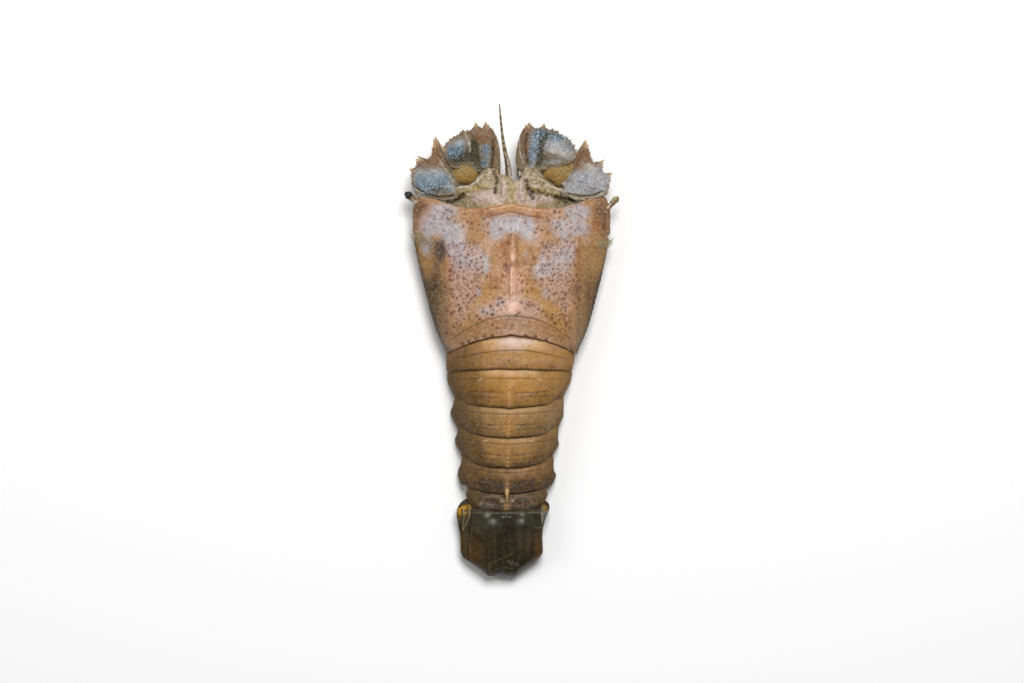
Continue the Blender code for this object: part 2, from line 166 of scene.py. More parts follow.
def bell(distance, width):
    """One at distance 0, falling off evenly to a third at one width."""
    return np.exp(-((distance / width) ** 2))


def ramp(value, start, stop):
    """Zero before start, one after stop, with an S-shaped rise between."""
    t = np.clip((value - start) / (stop - start), 0, 1)
    return t * t * (3 - 2 * t)


def fade(value, start, stop):
    """The same the other way round: one before start, zero after stop."""
    return 1 - ramp(value, start, stop)


def blob(x, y, centre, size):
    """A soft oval patch: one at its centre, a third at the rim that size gives."""
    return np.exp(-(((x - centre[0]) / size[0]) ** 2) - ((y - centre[1]) / size[1]) ** 2)


def oval_patches(x, y, spots):
    """Soft oval patches laid over each other, from a list of (centre, half size, strength)."""
    return sum(strength * blob(x, y, centre, size) for centre, size, strength in spots)


def off_line(x, y, line):
    """Distance in plan from every point to the nearest stretch of a broken line."""
    best = np.full(np.broadcast(x, y).shape, np.inf)
    for (x0, y0), (x1, y1) in zip(line[:-1], line[1:]):
        run_x, run_y = x1 - x0, y1 - y0
        t = np.clip(((x - x0) * run_x + (y - y0) * run_y) / (run_x**2 + run_y**2), 0, 1)
        best = np.minimum(best, np.hypot(x - x0 - t * run_x, y - y0 - t * run_y))
    return best


def uneven(x, y, size, seed, layers=3, n=61):
    """Smooth unevenness from -1 to 1: random heights on a square lattice of n by n that repeats,
    blended between its points, with each finer layer half as wide and half as strong."""
    total, strength, sum_strength = 0, 1, 0
    for layer in range(layers):
        table = np.random.default_rng(seed * 10 + layer).uniform(-1, 1, (n, n))
        u, v = x / size * 2**layer, y / size * 2**layer
        i, j = np.floor(u).astype(int), np.floor(v).astype(int)
        fu, fv = ramp(u - i, 0, 1), ramp(v - j, 0, 1)
        near = table[i % n, j % n] * (1 - fu) + table[(i + 1) % n, j % n] * fu
        far = table[i % n, (j + 1) % n] * (1 - fu) + table[(i + 1) % n, (j + 1) % n] * fu
        total = total + strength * (near * (1 - fv) + far * fv)
        sum_strength, strength = sum_strength + strength, strength / 2
    return total / sum_strength * 1.4


def dots(x, y, spots, sizes):
    """One at the middle of each spot, falling to nothing at its rim; the strongest spot wins."""
    found = np.zeros(np.broadcast(x, y).shape)
    for (spot_x, spot_y), size in zip(spots, sizes):
        near = (np.abs(y - spot_y) < 3 * size) & (np.abs(x - spot_x) < 3 * size)
        away = np.hypot(x[near] - spot_x, y[near] - spot_y)
        found[near] = np.maximum(found[near], bell(away, size))
    return found


def sprinkle(seed, x_span, y_span, spacing, keep):
    """Spots on a jittered square lattice; keep is the share of them that stays, or a function
    that gives it for each place."""
    rng = np.random.default_rng(seed)
    x, y = np.meshgrid(np.arange(*x_span, spacing), np.arange(*y_span, spacing))
    x = x.ravel() + rng.uniform(-0.5, 0.5, x.size) * spacing
    y = y.ravel() + rng.uniform(-0.5, 0.5, y.size) * spacing
    stay = rng.uniform(0, 1, x.size) < (keep(x, y) if callable(keep) else keep)
    return np.stack([x[stay], y[stay]], axis=1)


def rim_of(grid):
    """The points round a grid's edge, as one anticlockwise loop."""
    return np.concatenate([grid[0, :-1], grid[:-1, -1], grid[-1, :0:-1], grid[:0:-1, 0]])


def quads_of(rows, columns, first=0):
    """Corner numbers of the quads of a grid whose points are numbered row by row."""
    n = np.arange(rows * columns).reshape(rows, columns) + first
    return np.stack([n[:-1, :-1], n[:-1, 1:], n[1:, 1:], n[1:, :-1]], axis=-1).reshape(-1, 4)


def wall_between(outer, inner):
    """Quads from one closed loop of point numbers to the next, facing away from the first."""
    return np.stack([outer, inner, np.roll(inner, -1), np.roll(outer, -1)], axis=-1)


def shown(name, points, faces, masks, finish, sharp=50, stands_for=()):
    """Makes a piece of the animal from points in millimetres, with one attribute per mask."""
    mesh = bpy.data.meshes.new(name)
    mesh.from_pydata((np.asarray(points, float) * MM).tolist(), [], faces)
    for mask, values in masks.items():
        attribute = mesh.attributes.new(mask, "FLOAT", "POINT")
        attribute.data.foreach_set("value", np.asarray(values, np.float32).ravel())
    mesh.materials.append(finish)
    mesh.shade_smooth()
    mesh.set_sharp_from_angle(angle=math.radians(sharp))
    piece = bpy.data.objects.new(name, mesh)
    bpy.context.scene.collection.objects.link(piece)
    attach(piece, "root")
    if stands_for:
        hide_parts(*stands_for)
    return piece


def plate(
    name, top, under, masks, finish, stands_for=(), shrink=(1, 0.97, 0.8, 0.5, 0.2), sharp=50,
):
    """A closed plate: a grid of points on top, then loops that run in from its rim underneath.

    under(k) gives the underside's loop at share k of the way from its middle to the rim, with
    the same number of points as the grid's edge. The last loop is closed by one flat face.
    """
    rows, columns = top.shape[:2]
    rim = rim_of(np.arange(rows * columns).reshape(rows, columns))
    faces = [quads_of(rows, columns)]
    points, outer = [top.reshape(-1, 3)], rim
    for k in shrink:
        points.append(under(k))
        inner = np.arange(len(rim)) + sum(len(p) for p in points[:-1])
        faces.append(wall_between(outer, inner))
        outer = inner
    spare = len(rim) * len(shrink)
    masks = {
        mask: np.concatenate([v.ravel(), np.tile(rim_of(v), len(shrink))]) for mask, v in masks.items()
    }
    masks["under"] = np.concatenate([np.zeros(rows * columns), np.ones(spare)])
    faces = np.concatenate(faces).tolist() + [outer[::-1].tolist()]
    return shown(name, np.concatenate(points), faces, masks, finish, sharp, stands_for)


def linear(hex_colour):
    """An sRGB hex colour as linear RGBA."""
    value = np.array([int(hex_colour[i : i + 2], 16) for i in (1, 3, 5)]) / 255
    value = np.where(value <= 0.04045, value / 12.92, ((value + 0.055) / 1.055) ** 2.4)
    return (*value, 1)


def add(tree, kind, inputs=(), **settings):
    """Adds a node: settings are its own properties, and inputs gives each socket a value or
    links it to another node's output."""
    node = tree.nodes.new(kind)
    for name, value in settings.items():
        setattr(node, name, value)
    for socket, value in dict(inputs).items():
        if isinstance(value, bpy.types.NodeSocket):
            tree.links.new(value, node.inputs[socket])
        else:
            node.inputs[socket].default_value = value
    return node


def chitin(
    name, ground, layers, grain, relief, roughness=(0.3, 0.5), coat=0.25, coat_roughness=0.2,
    specular=0.25,
):
    """Shell under a film of water: a ground colour, layers painted over it, then fine flecks.

    Each layer is (mask, hex colour, strength, break-up): the mask is an attribute of the piece,
    and noise shifts it up and down by the break-up. grain is a list of (size in millimetres, hex
    colour, low, high, strength): flecks of that size where the noise passes from low to high.
    relief is a list of (size, depth), both in millimetres, of fine bumps. Real shell is finer than
    can show here, so flecks and bumps are as coarse as they need to be. Where the attribute steep
    is 1, at the drooping sides, the shell is dry and dull.
    """
    made = bpy.data.materials.new(name)
    made.use_nodes = True
    tree = made.node_tree
    shader = tree.nodes["Principled BSDF"]
    place = add(tree, "ShaderNodeTexCoord").outputs["Object"]

    def noise(size, detail):
        """Cloudy noise from 0 to 1, its clouds about that many millimetres wide."""
        sockets = {"Vector": place, "Scale": 1 / (size * MM), "Detail": detail, "Roughness": 0.6}
        return add(tree, "ShaderNodeTexNoise", sockets).outputs[0]

    def reckon(operation, first, second, **settings):
        """One step of arithmetic on two values."""
        sockets = {0: first, 1: second}
        return add(tree, "ShaderNodeMath", sockets, operation=operation, **settings).outputs[0]

    def spread(value, low, high, start=0, stop=1, **settings):
        """Carries low to high over into start to stop, and holds it there beyond them."""
        sockets = {0: value, 1: low, 2: high, 3: start, 4: stop}
        return add(tree, "ShaderNodeMapRange", sockets, **settings).outputs[0]

    def over(colour, share, strength, paint):
        """The colour with that paint laid over share times strength of it."""
        share = reckon("MULTIPLY", share, strength, use_clamp=True)
        sockets = {0: share, 6: colour, 7: linear(paint)}
        return add(tree, "ShaderNodeMix", sockets, data_type="RGBA").outputs[2]

    ragged = noise(1.8, 4)
    colour = add(tree, "ShaderNodeRGB").outputs[0]
    colour.default_value = linear(ground)
    for mask, paint, strength, broken in layers:
        share = add(tree, "ShaderNodeAttribute", attribute_name=mask).outputs["Fac"]
        if broken:
            share = reckon("ADD", share, spread(ragged, 0.3, 0.7, -broken, broken))
            share = spread(share, 0.1, 1)
        colour = over(colour, share, strength, paint)
    for size, paint, low, high, strength in grain:
        share = spread(noise(size, 4), low, high, interpolation_type="SMOOTHSTEP")
        colour = over(colour, share, strength, paint)
    tree.links.new(colour, shader.inputs["Base Color"])
    height = None
    for size, depth in relief:
        bumps = reckon("MULTIPLY", noise(size, 3), depth * MM)
        height = bumps if height is None else reckon("ADD", height, bumps)
    bump = add(tree, "ShaderNodeBump", {"Height": height, "Distance": 1, "Strength": 1})
    tree.links.new(bump.outputs[0], shader.inputs["Normal"])
    dull = spread(ragged, 0.3, 0.7, *roughness)
    steep = add(tree, "ShaderNodeAttribute", attribute_name="steep").outputs["Fac"]
    dull = reckon("ADD", dull, reckon("MULTIPLY", steep, 0.45), use_clamp=True)
    tree.links.new(dull, shader.inputs["Roughness"])
    shader.inputs["IOR"].default_value = 1.5
    shader.inputs["Specular IOR Level"].default_value = specular
    shader.inputs["Coat Weight"].default_value = coat
    shader.inputs["Coat Roughness"].default_value = coat_roughness
    shader.inputs["Coat IOR"].default_value = 1.33
    return made


def shield_front(x):
    """Y of the front edge: a shallow hollow each side of the centre, a little ragged."""
    side = np.abs(x)
    hollow = 2.9 * np.sin(np.pi * np.minimum(side / 31, 1))
    return SHIELD_FRONT - hollow + 2 * (side / 36) ** 3 + 0.25 * uneven(x, 0 * x, 2.6, 3)


def shield_rear(x):
    """Y of the rear edge, which runs back at its sides and has a small notch in the middle."""
    return SHIELD_REAR + SHIELD_BOW * (np.abs(x) / 23) ** 2 + 0.5 * bell(x, 1.6)


def shield_half(y):
    """Half width, with the cervical notch and small worn teeth along the edge."""
    teeth = 0.22 * (np.abs(np.sin(np.pi * y / 2.3)) ** 0.5 - 0.6) * ramp(y, -6, 4)
    notch = 0.8 * bell(y - 41.4, 0.9) - 0.3 * bell(y - 43.4, 1.2) - 0.2 * bell(y - 39.4, 1.2)
    return through(SHIELD_FLANK, y) + teeth - notch


def rear_groove(x):
    """Y of the groove that sets the rear rim off."""
    return 9.2 - 8.7 * (np.abs(x) / 23) ** 2.1


def shield_height(x, y, across):
    """Height of the shield: a flat-topped arch, with ridges and grooves added to it."""
    side = np.abs(x)
    ahead, behind = y - shield_front(x), y - rear_groove(x)
    from_keel = np.abs(x - 0.4)
    edge = through(SHIELD_EDGE, y)
    z = edge + (through(SHIELD_RIDGE, y) - edge) * (1 - np.abs(across) ** 2.4) ** 0.66

    # Ridges: the shoulder down each flank, the knobs on it, and the keel on the centre line.
    shoulder = 24.6 + 1.6 * ramp(y, 5, 40)
    z += 0.4 * bell(side - shoulder, 2.2) * ramp(y, -3, 6) * fade(y, 36, 44)
    z += 0.7 * blob(side, y, (26, 38), (1, 3.2))
    z += 0.5 * bell(side - 31, 2.2) * ramp(y, 43, 46) * fade(y, 51, 55)
    keel = bell(x - 0.2, 0.55) * ramp(y, 36, 37.5) * fade(y, 42.2, 43.4)
    keel += blob(x, y, (0.4, 34), (1.2, 3))
    keel += bell(x, 0.6) * ramp(y, 13.5, 17.5) * fade(y, 28, 29.2)
    z += keel * (0.8 + 0.3 * uneven(x, y, 1.5, 8))

    # Swellings over the gills, heart and stomach, and the hollows between them.
    z += 0.55 * blob(side, y, (17.5, 28), (7.5, 10))
    z += 0.6 * blob(x, y, (0, 12.5), (2.4, 3.2)) + 0.5 * blob(side, y, (4.4, 34.5), (1.5, 2.6))
    z += 1.1 * blob(side, y, (6.5, 46.6), (7.5, 3.6)) - 0.5 * blob(side, y, (17, 46), (2.4, 5))
    z += 0.5 * blob(x, y, (4.9, 33.8), (1.7, 3)) + 0.4 * blob(x, y, (-4, 34.5), (1.8, 3.6))
    z += 0.5 * blob(side, y, (27.5, 48), (4.5, 4)) - 0.5 * blob(x, y, (-28.4, 36), (1.6, 5))
    z -= 0.9 * blob(x, y, (-25.3, -3.4), (2, 1.2)) + 0.9 * blob(x, y, (23, -3.6), (2, 1.2))

    # Grooves: beside the keel, round the stomach, across the neck and beside the heart.
    uneven_depth = 0.7 + 0.5 * uneven(x, y, 2, 11)
    z -= 0.55 * bell(from_keel - 1.8, 0.5) * ramp(y, 14, 18) * fade(y, 41, 43.5) * uneven_depth
    z -= 0.35 * bell(from_keel - 8.4 + 0.25 * (y - 34), 0.8) * ramp(y, 30, 32) * fade(y, 36, 39)
    neck = bell(off_line(side, y, CERVICAL_GROOVE), 1.5) * (0.7 + 0.4 * uneven(x, y, 5, 9))
    z -= 0.5 * neck * (1 - 0.8 * ramp(side, 24, 29))
    z -= 0.6 * bell(off_line(side, y, HEART_FURROW), 2.4) * (0.8 + 0.4 * uneven(x, y, 6, 10))

    # Rims: the rear band steps down behind its groove, and both edges are turned up a little.
    z -= (0.5 * bell(behind, 0.5) + 0.3 * ramp(-behind, 0.2, 1.5)) * fade(side, 22, 26)
    z += 0.3 * bell(y - shield_rear(x) - 0.7, 0.8)
    z += 0.3 * bell(ahead + 0.6, 0.6) - 0.2 * bell(ahead + 3.4, 1)
    z -= 1.8 * ramp(y, 46, 57) * (1 - np.abs(across) ** 3)
    return z + 0.45 * uneven(x, y, 9, 5) + 0.10 * uneven(x, y, 1.6, 6, 2)


def shield_plan(columns, rows):
    """Plan of the plate: X is a share of its half width, and Y a share of the way from its rear
    edge to its front. Each needs the other, so they are worked out by turns."""
    s = np.linspace(-1, 1, columns)[None, :]
    across = 0.6 * s + 0.4 * np.sin(np.pi * s / 2) + np.zeros((rows, 1))
    run = np.linspace(0, 1, rows)[:, None]
    x = across * 30
    for _ in range(6):
        y = shield_rear(x) * (1 - run) + shield_front(x) * run
        x = across * shield_half(y)
    return x, y


def pits_kept(x, y):
    """Share of the possible pits that are there: dense over the gills, sparse elsewhere."""
    side, behind = np.abs(x), y - rear_groove(x)
    gills = (side > through(PITTED_FROM, y) + 0.4) & (side < through(PITTED_TO, y) + 1) & (y < 39.5)
    heart = (y + 0.55 * side < 18) & (side < 17) & (behind > 1.4)
    front = (y > 43) & (y < 52) & (side > 9.5) & (side < 31)
    flank = (side > 25) & (side < 31) & (y > 8) & (y < 36)
    keel = (side > 1.8) & (side < 1.5 + 0.8 * (29 - y)) & (side < 9) & (y > 18) & (y < 29)
    return 0.5 * keel + 0.78 * (gills & (behind > 1.5)) + 0.35 * heart + 0.45 * front + 0.2 * flank + 0.1


def shield_pits(x, y):
    """The pits of the plate, each a round dip: their depth, their colour and the blush round them."""
    side = np.abs(x)
    spots = sprinkle(21, (-37, 38), (-3, 53), 1.45, pits_kept)
    sizes = 0.22 + 0.32 * np.random.default_rng(22).uniform(0, 1, len(spots)) ** 1.6
    fine_spots = sprinkle(23, (-22, 22), (-3, 9), 0.9, lambda a, b: 0.8 * (b < rear_groove(a) - 0.6))
    pits, fine = dots(x, y, spots, sizes), dots(x, y, fine_spots, [0.2] * len(fine_spots))
    rear, low = (dots(x, y, row, [size] * len(row)) for row, size in ((REAR_PITS, 0.75), (LOW_PITS, 0.5)))
    large = np.maximum(rear, low)
    depth = 0.3 * pits + 0.12 * fine + 0.45 * large
    dark = np.maximum(pits * (0.8 + 0.4 * uneven(x, y, 3, 33)), 0.6 * fine)
    dark = np.maximum(dark * (1 - 0.35 * ramp(side, 26, 29)), large)
    blush = dots(x, y, spots, 1.9 * sizes) * fade(side, 25, 29)
    blush += 0.5 * blob(side, y, (5, 24), (4, 4.5)) * (0.5 + 0.9 * uneven(x * 2, y, 2.6, 38))
    return depth, dark, blush


def shield_colours(x, y, rays):
    """How strongly each colour lies on the plate: stained patches, and bands along its lines."""
    side, behind = np.abs(x), y - rear_groove(x)
    ahead, from_rear = y - shield_front(x), y - shield_rear(x)
    from_keel = np.abs(x - 0.4)
    cervical = off_line(side, y, CERVICAL_GROOVE)
    wide, close = uneven(x, y, 7, 31), uneven(x, y, 2.4, 32)
    patched = {colour: oval_patches(x, y, spots) for colour, spots in SHIELD_PATCHES.items()}

    # The bloom: a pale film in patches, parted into hairs that lie slantwise on the flanks. It is partly
    # a painted reflection of the soft light on the wet shell, and its palest streaks are painted
    # highlights.
    slant = uneven((x + y) * 2.6, (x - y) * 0.55, 3, 34)
    upright = uneven(x * 3.6, y * 0.6, 3, 35)
    hairs = np.where(side > 14, slant, upright)
    gills = ramp(side - through(PITTED_FROM, y) + 0.5 * wide, -0.4, 1.2)
    gills = gills * fade(side - through(PITTED_TO, y) + 0.6 * close, -1, 1.6)
    gills = gills * ramp(behind, 1, 5) * fade(y, 36.5, 40.5)
    bloom = np.clip(patched["grey"], 0, 1)
    grey = patched["grey"] * (1.2 + 0.85 * hairs) + 0.35 * gills * ramp(y, 19, 29) * (1 + 0.5 * slant)
    sheen_streaks = bloom * ramp(-hairs, 0.05, 0.6) * (0.8 + 0.6 * close)
    rose = patched["rose"] + 0.35 * gills + 0.15 * rays

    # Warm colours: tan flanks, gold in the furrows beside the heart, rust along the front.
    tan = patched["tan"] + 0.9 * ramp(side + 0.8 * wide, 24, 28) * fade(y, 34, 43)
    tan += 0.5 * bell(cervical, 1.8) * ramp(side, 4, 10) * fade(side, 26, 30)
    furrow = bell(off_line(side, y, HEART_FURROW) - 0.3, 2.4) * (0.75 + 0.3 * ramp(x, -4, 8))
    gold = patched["gold"] + 0.9 * furrow * ramp(30 - y, 0, 3)
    rust = patched["rust"] * (0.9 + 1.1 * upright + 0.3 * close)
    rust += 0.6 * bell(ahead + 3.6, 0.8) * fade(side, 9, 13)

    # Dark colours: umber down the left side and along the rims, brown in the cervical groove.
    left_side = 0.45 * ramp(-x, 23.5, 27) + 0.4 * ramp(-x, 27, 31)
    right_side = 0.3 * ramp(x, 24.5, 26.5) + 0.3 * ramp(x, 28, 31) * ramp(y, 3, 10)
    umber = patched["umber"] + fade(y, 20, 30) * (left_side + right_side)
    umber += 0.3 * bell(behind, 0.4) * fade(side, 23, 25)
    umber += 0.55 * ramp(side - shield_half(y), -1.8, -0.2)
    umber += 0.35 * bell(ahead + 3.9, 0.35) * fade(side, 11, 15)
    groove = bell(cervical + 0.5 * close, 0.9) * fade(side, 26, 29) * ramp(side, 6, 12)
    brown = patched["brown"] + 0.5 * groove * (0.7 + 0.6 * wide)

    # Fine dark lines: both sides of the keel, the grooves, the front strip and the hairs.
    shade = 0.7 * bell(from_keel - 1.7, 0.5) * ramp(y, 15, 20) * fade(y, 41, 43) * (0.6 + 0.7 * close)
    shade += 0.55 * bell(cervical, 0.45) * fade(side, 9, 12) * (0.8 + 0.5 * close)
    stomach = bell(from_keel - 8.2 + 0.25 * (y - 34), 0.6) * ramp(y, 30, 33) * fade(y, 37, 40)
    shade += 0.5 * stomach * (0.6 + 0.5 * close)
    shade += 0.55 * bell(ahead + 3.9, 0.3) * fade(side, 12, 16)
    shade += 0.5 * bell(behind, 0.32) * fade(side, 20, 24) + 0.25 * (rays > 0.25)
    beside = fade(side, 9, 12) * ramp(y, 19, 23) * fade(y, 38, 42)
    shade += 0.3 * ramp(upright, 0.25, 0.7) * beside
    shade += 0.45 * bloom * ramp(hairs, 0, 0.8) * ramp(y, 38, 42)

    # Palest of all: the worn crest of the keel, the rims, and the roots of the bristles.
    keel = bell(x - 0.4, 0.6) * ramp(y, 36, 37.5) * fade(y, 42, 43.2)
    keel += blob(x, y, (0.5, 32.8), (1.2, 2.4))
    keel += bell(x - 0.3, 0.7) * ramp(y, 12, 17) * fade(y, 28.5, 29.5)
    keel = keel * (0.75 + 0.4 * close) + 0.6 * blob(x, y, (0.3, 12.6), (2, 2.6))
    keel += 0.4 * blob(x, y, (0, 13), (9, 3.2)) + 0.5 * blob(x, y, (1, 23), (5, 6))
    keel += 0.6 * bell(ahead + 1.3, 0.3) * fade(side, 10, 14)
    keel += 0.5 * bell(off_line(x, y, [(26.2, 41.8), (26, 37)]), 0.35)
    keel += 0.4 * bell(from_rear - 0.5, 0.4) * fade(side, 16, 22)
    bristly = bell(off_line(x, y, [(-39.5, 41.2), (-34, 39.8), (-31, 38.6)]), 0.9)
    bristly += bell(off_line(x, y, [(39, 38.4), (36, 37.6), (34, 39.2)]), 1.2)
    keel += 0.6 * bristly * ramp(uneven(x * 2, y * 2.5, 2, 37), -0.1, 0.6)
    return {
        "tan": tan + 0.12 * wide, "rose": rose + 0.18 * wide, "gold": gold + 0.15 * close, "rust": rust,
        "brown": brown + 0.12 * close, "umber": umber + 0.12 * wide, "grey": grey + 0.12 * close,
        "sheen_streaks": sheen_streaks, "dark": patched["dark"] + 0.12 * close, "shade": shade, "keel": keel,
        "steep": ramp(side, 25, 33) * fade(y, 40, 48),
    }


def build_carapace(columns=356, rows=248):
    """Top: height over plan. Underside: a thin lip, then loops of the rim drawn inwards."""
    x, y = shield_plan(columns, rows)
    rays = uneven(x * 3.4, y * 0.5 + 0.02 * x**2, 2.2, 36, 2) * (y < rear_groove(x))
    depth, dark, blush = shield_pits(x, y)
    z = shield_height(x, y, np.clip(x / through(SHIELD_FLANK, y), -1, 1)) - depth + 0.08 * rays
    masks = shield_colours(x, y, rays) | {"blush": blush, "pit": dark}
    rim = rim_of(np.stack([x, y, z], axis=-1))
    middle = np.array([0, 27])

    def under(k):
        """A lip 1.1 mm below the rim, then in to the floor over the leg roots."""
        plan = middle + (rim[:, :2] - middle) * (k if k < 1 else 0.998)
        floor = 9 + 1.4 * np.minimum(np.abs(plan[:, 0]) / 39, 1) ** 2
        if k >= 1:
            return np.column_stack([plan, np.maximum(rim[:, 2] - 1.1, floor)])
        wall = np.maximum(through(SHIELD_EDGE, rim[:, 1]) - 1.2, floor)
        return np.column_stack([plan, wall if k > 0.975 else floor])

    plate(
        "shield", np.stack([x, y, z], axis=-1), under, masks, SHIELD_FINISH, ["carapace"],
        (1, 0.985, 0.96, 0.8, 0.5, 0.2),
    )


# Raw chitin, secreted in layers over the living skin, with water standing on it: a soft gloss,
# colour in clouded patches, dark pits, and fine grains of about a millimetre.
SHIELD_FINISH = chitin(
    "wet_shield_chitin", "#a67b54",
    [
        ("tan", "#97703f", 0.85, 0.12), ("rose", "#b69381", 0.85, 0.2), ("gold", "#a97c38", 0.75, 0.25),
        ("rust", "#8c4822", 0.95, 0.2), ("brown", "#5e3c20", 0.9, 0.2), ("umber", "#33260e", 0.95, 0.06),
        # The grey bloom and its palest streaks are partly painted reflection and highlight of the soft
        # light.
        ("grey", "#a3a1a8", 0.84, 0.16), ("sheen_streaks", "#c9cad2", 0.5, 0.1), ("dark", "#3b2f2c", 0.9, 0.1),
        ("blush", "#8f5138", 0.4, 0), ("shade", "#4b3018", 0.8, 0.1), ("keel", "#e6b8a2", 0.9, 0.1),
        ("pit", "#4a2620", 0.95, 0), ("under", "#8d7a5e", 1, 0),
    ],
    grain=[
        (3.2, "#6b4f2e", 0.5, 0.72, 0.35), (1.1, "#e2c8ae", 0.45, 0.7, 0.24),
        (0.8, "#4c341c", 0.45, 0.7, 0.3),
    ],
    relief=[(0.5, 0.14), (1.6, 0.2)], roughness=(0.36, 0.6), coat=0.1, coat_roughness=0.22,
)
build_carapace()

# --------------------------------------
# Tail rings. Six arched plates, each one overlapping the next like roof tiles, with a leaf
# hanging from each side that ends in a tooth. A groove crosses every ring, fine ridges follow
# it, and a keel runs down the middle of the rear ones as a row of granules.

# Of each ring: how far its rear edge runs forward at its sides, height of its back, height of its
# keel and spacing of the keel's granules, and how much of the dark, light, rose, drab and gold
# colours it has, the light being a painted highlight across its front. Its side outline is (place
# along it, share of the front half width, left and right).
RINGS = [
    {
        "bow": -0.8, "back": 26, "keel": 0, "granule": 0,
        "dark": 0, "light": 0.9, "rose": 1, "drab": 0, "gold": 0,
        "outline": [(0, 1, 1), (0.5, 1, 0.99), (1, 0.99, 0.97)],
    },
    {
        "bow": 2.4, "back": 25.5, "keel": 0.7, "granule": 0,
        "dark": 0.16, "light": 0.8, "rose": 0.35, "drab": 0.1, "gold": 1,
        "outline": [(0, 1, 0.99), (0.35, 0.985, 0.965), (0.7, 0.93, 0.91), (1, 0.85, 0.83)],
    },
    {
        "bow": 3.6, "back": 23.9, "keel": 0.5, "granule": 1.5,
        "dark": 0.28, "light": 0.45, "rose": 0.6, "drab": 1, "gold": 0.25,
        "outline": [
            (0, 0.93, 0.86), (0.25, 0.99, 0.92), (0.55, 1, 0.94), (0.8, 0.95, 0.9), (1, 0.86, 0.83),
        ],
    },
    {
        "bow": 4.4, "back": 21.9, "keel": 0.6, "granule": 1.75,
        "dark": 0.52, "light": 0.35, "rose": 0.6, "drab": 0.6, "gold": 0.4,
        "outline": [
            (0, 0.93, 0.84), (0.3, 1, 0.92), (0.6, 0.98, 0.95), (0.85, 0.9, 0.86), (1, 0.84, 0.76),
        ],
    },
    {
        "bow": 5.6, "back": 19.4, "keel": 0.65, "granule": 1.6,
        "dark": 0.85, "light": 0.2, "rose": 1, "drab": 0.3, "gold": 0,
        "outline": [
            (0, 0.9, 0.84), (0.3, 0.98, 0.9), (0.6, 1.01, 0.97), (0.9, 0.99, 0.97), (1, 0.94, 0.9),
        ],
    },
    {
        "bow": 0.6, "back": 16.8, "keel": 0.25, "granule": 0,
        "dark": 0.95, "light": 0.1, "rose": 0.5, "drab": 1.3, "gold": 0,
        "outline": [(0, 0.96, 0.96), (0.3, 1, 1), (0.7, 0.93, 0.93), (1, 0.84, 0.84)],
    },
]
TELSON_ROOT = 15.6
# Round a ring from its middle, 0, to the tip of its side leaf, 1: share of half width, of height.
ARCH_X = [(0, 0), (0.2, 0.3), (0.4, 0.575), (0.56, 0.76), (0.7, 0.885), (0.82, 0.955), (0.92, 0.99), (1, 1)]
ARCH_Z = [(0, 1), (0.2, 0.97), (0.4, 0.875), (0.56, 0.73), (0.7, 0.54), (0.82, 0.34), (0.92, 0.15), (1, 0)]
# Millimetres that a ring rises along its length, and X of the tail's middle line along Y.
RING_PROFILE = [
    (0, -1), (0.07, -0.75), (0.16, -0.35), (0.32, 0.35), (0.5, 0.6), (0.62, 0.5), (0.78, 0.7),
    (0.9, 0.65), (0.96, 0.4), (1, -0.1),
]
TAIL_LEAN = [(-96, -2.4), (-68, -2), (-45, -1.4), (-20, -0.8), (5, 0)]
# Two short painted glints on the second and the fourth ring, one each side: the middle of the right one.
PALE_GLINTS = {1: (11.6, -15.4), 3: (9.2, -40.2)}


def edge_run(rear, bow, x):
    """Y of a ring's rear edge: a parabola across the back."""
    return rear + bow * (x / 23) ** 2


def measured_ring(number, before):
    """A ring's sizes, with those that its own solid and its neighbours give."""
    low, high = (np.array(corner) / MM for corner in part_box(f"tail_ring_{number + 1}"))
    last = number == len(RINGS) - 1
    return RINGS[number] | {
        "number": number, "before": before, "floor": low[2], "half": (high[0] - low[0]) / 2 / 1.01,
        "rear": low[1] - min(RINGS[number]["bow"], 0) * 1.3, "free": 1 if number else 0,
        "next_back": TELSON_ROOT if last else RINGS[number + 1]["back"] + 0.75,
    }


def ring_point(ring, s, v, inset=0):
    """Point at s round the arch and v along it, or that far in under the surface.

    X and Z are shares of the half width and of the height; Y runs between the rear edges of the
    ring before and of this one, drawn out to a tooth on each side leaf.
    """
    away, leaf, free = np.abs(s), ramp(np.abs(s), 0.72, 1), ring["free"]
    outline = np.array(ring["outline"])
    share = np.where(s < 0, through(outline[:, :2], v), through(outline[:, ::2], v))
    body = 1 - (1 - outline[-1, 1 if free else 2]) * v**1.6
    x = (ring["half"] * (body + (share - body) * leaf**1.5) - inset) * np.sign(s) * through(ARCH_X, away)
    start = edge_run(*ring["before"], x) + 1.3 * (1 - leaf) - (1.1 * free + 0.3) * leaf**1.5
    stop = edge_run(ring["rear"], ring["bow"], x) + (0.3 + 1.1 * free) * leaf**2
    tooth = free * (1.5 * bell(away - 0.93, 0.05) - 0.4 * bell(away - 0.8, 0.05)) * ramp(v, 0.8, 1)
    ragged = 0.22 * uneven(x, 0 * x, 5, 40 + ring["number"]) * ramp(v, 0.6, 1)
    y = start + (stop - start) * v - tooth + ragged
    top = ring["back"] + (ring["next_back"] - ring["back"]) * ramp(v, 0.2, 1.3)
    top = top + through(RING_PROFILE, v) * (1 - 0.5 * leaf)
    return x, y, ring["floor"] + (top - inset - ring["floor"]) * through(ARCH_Z, away)


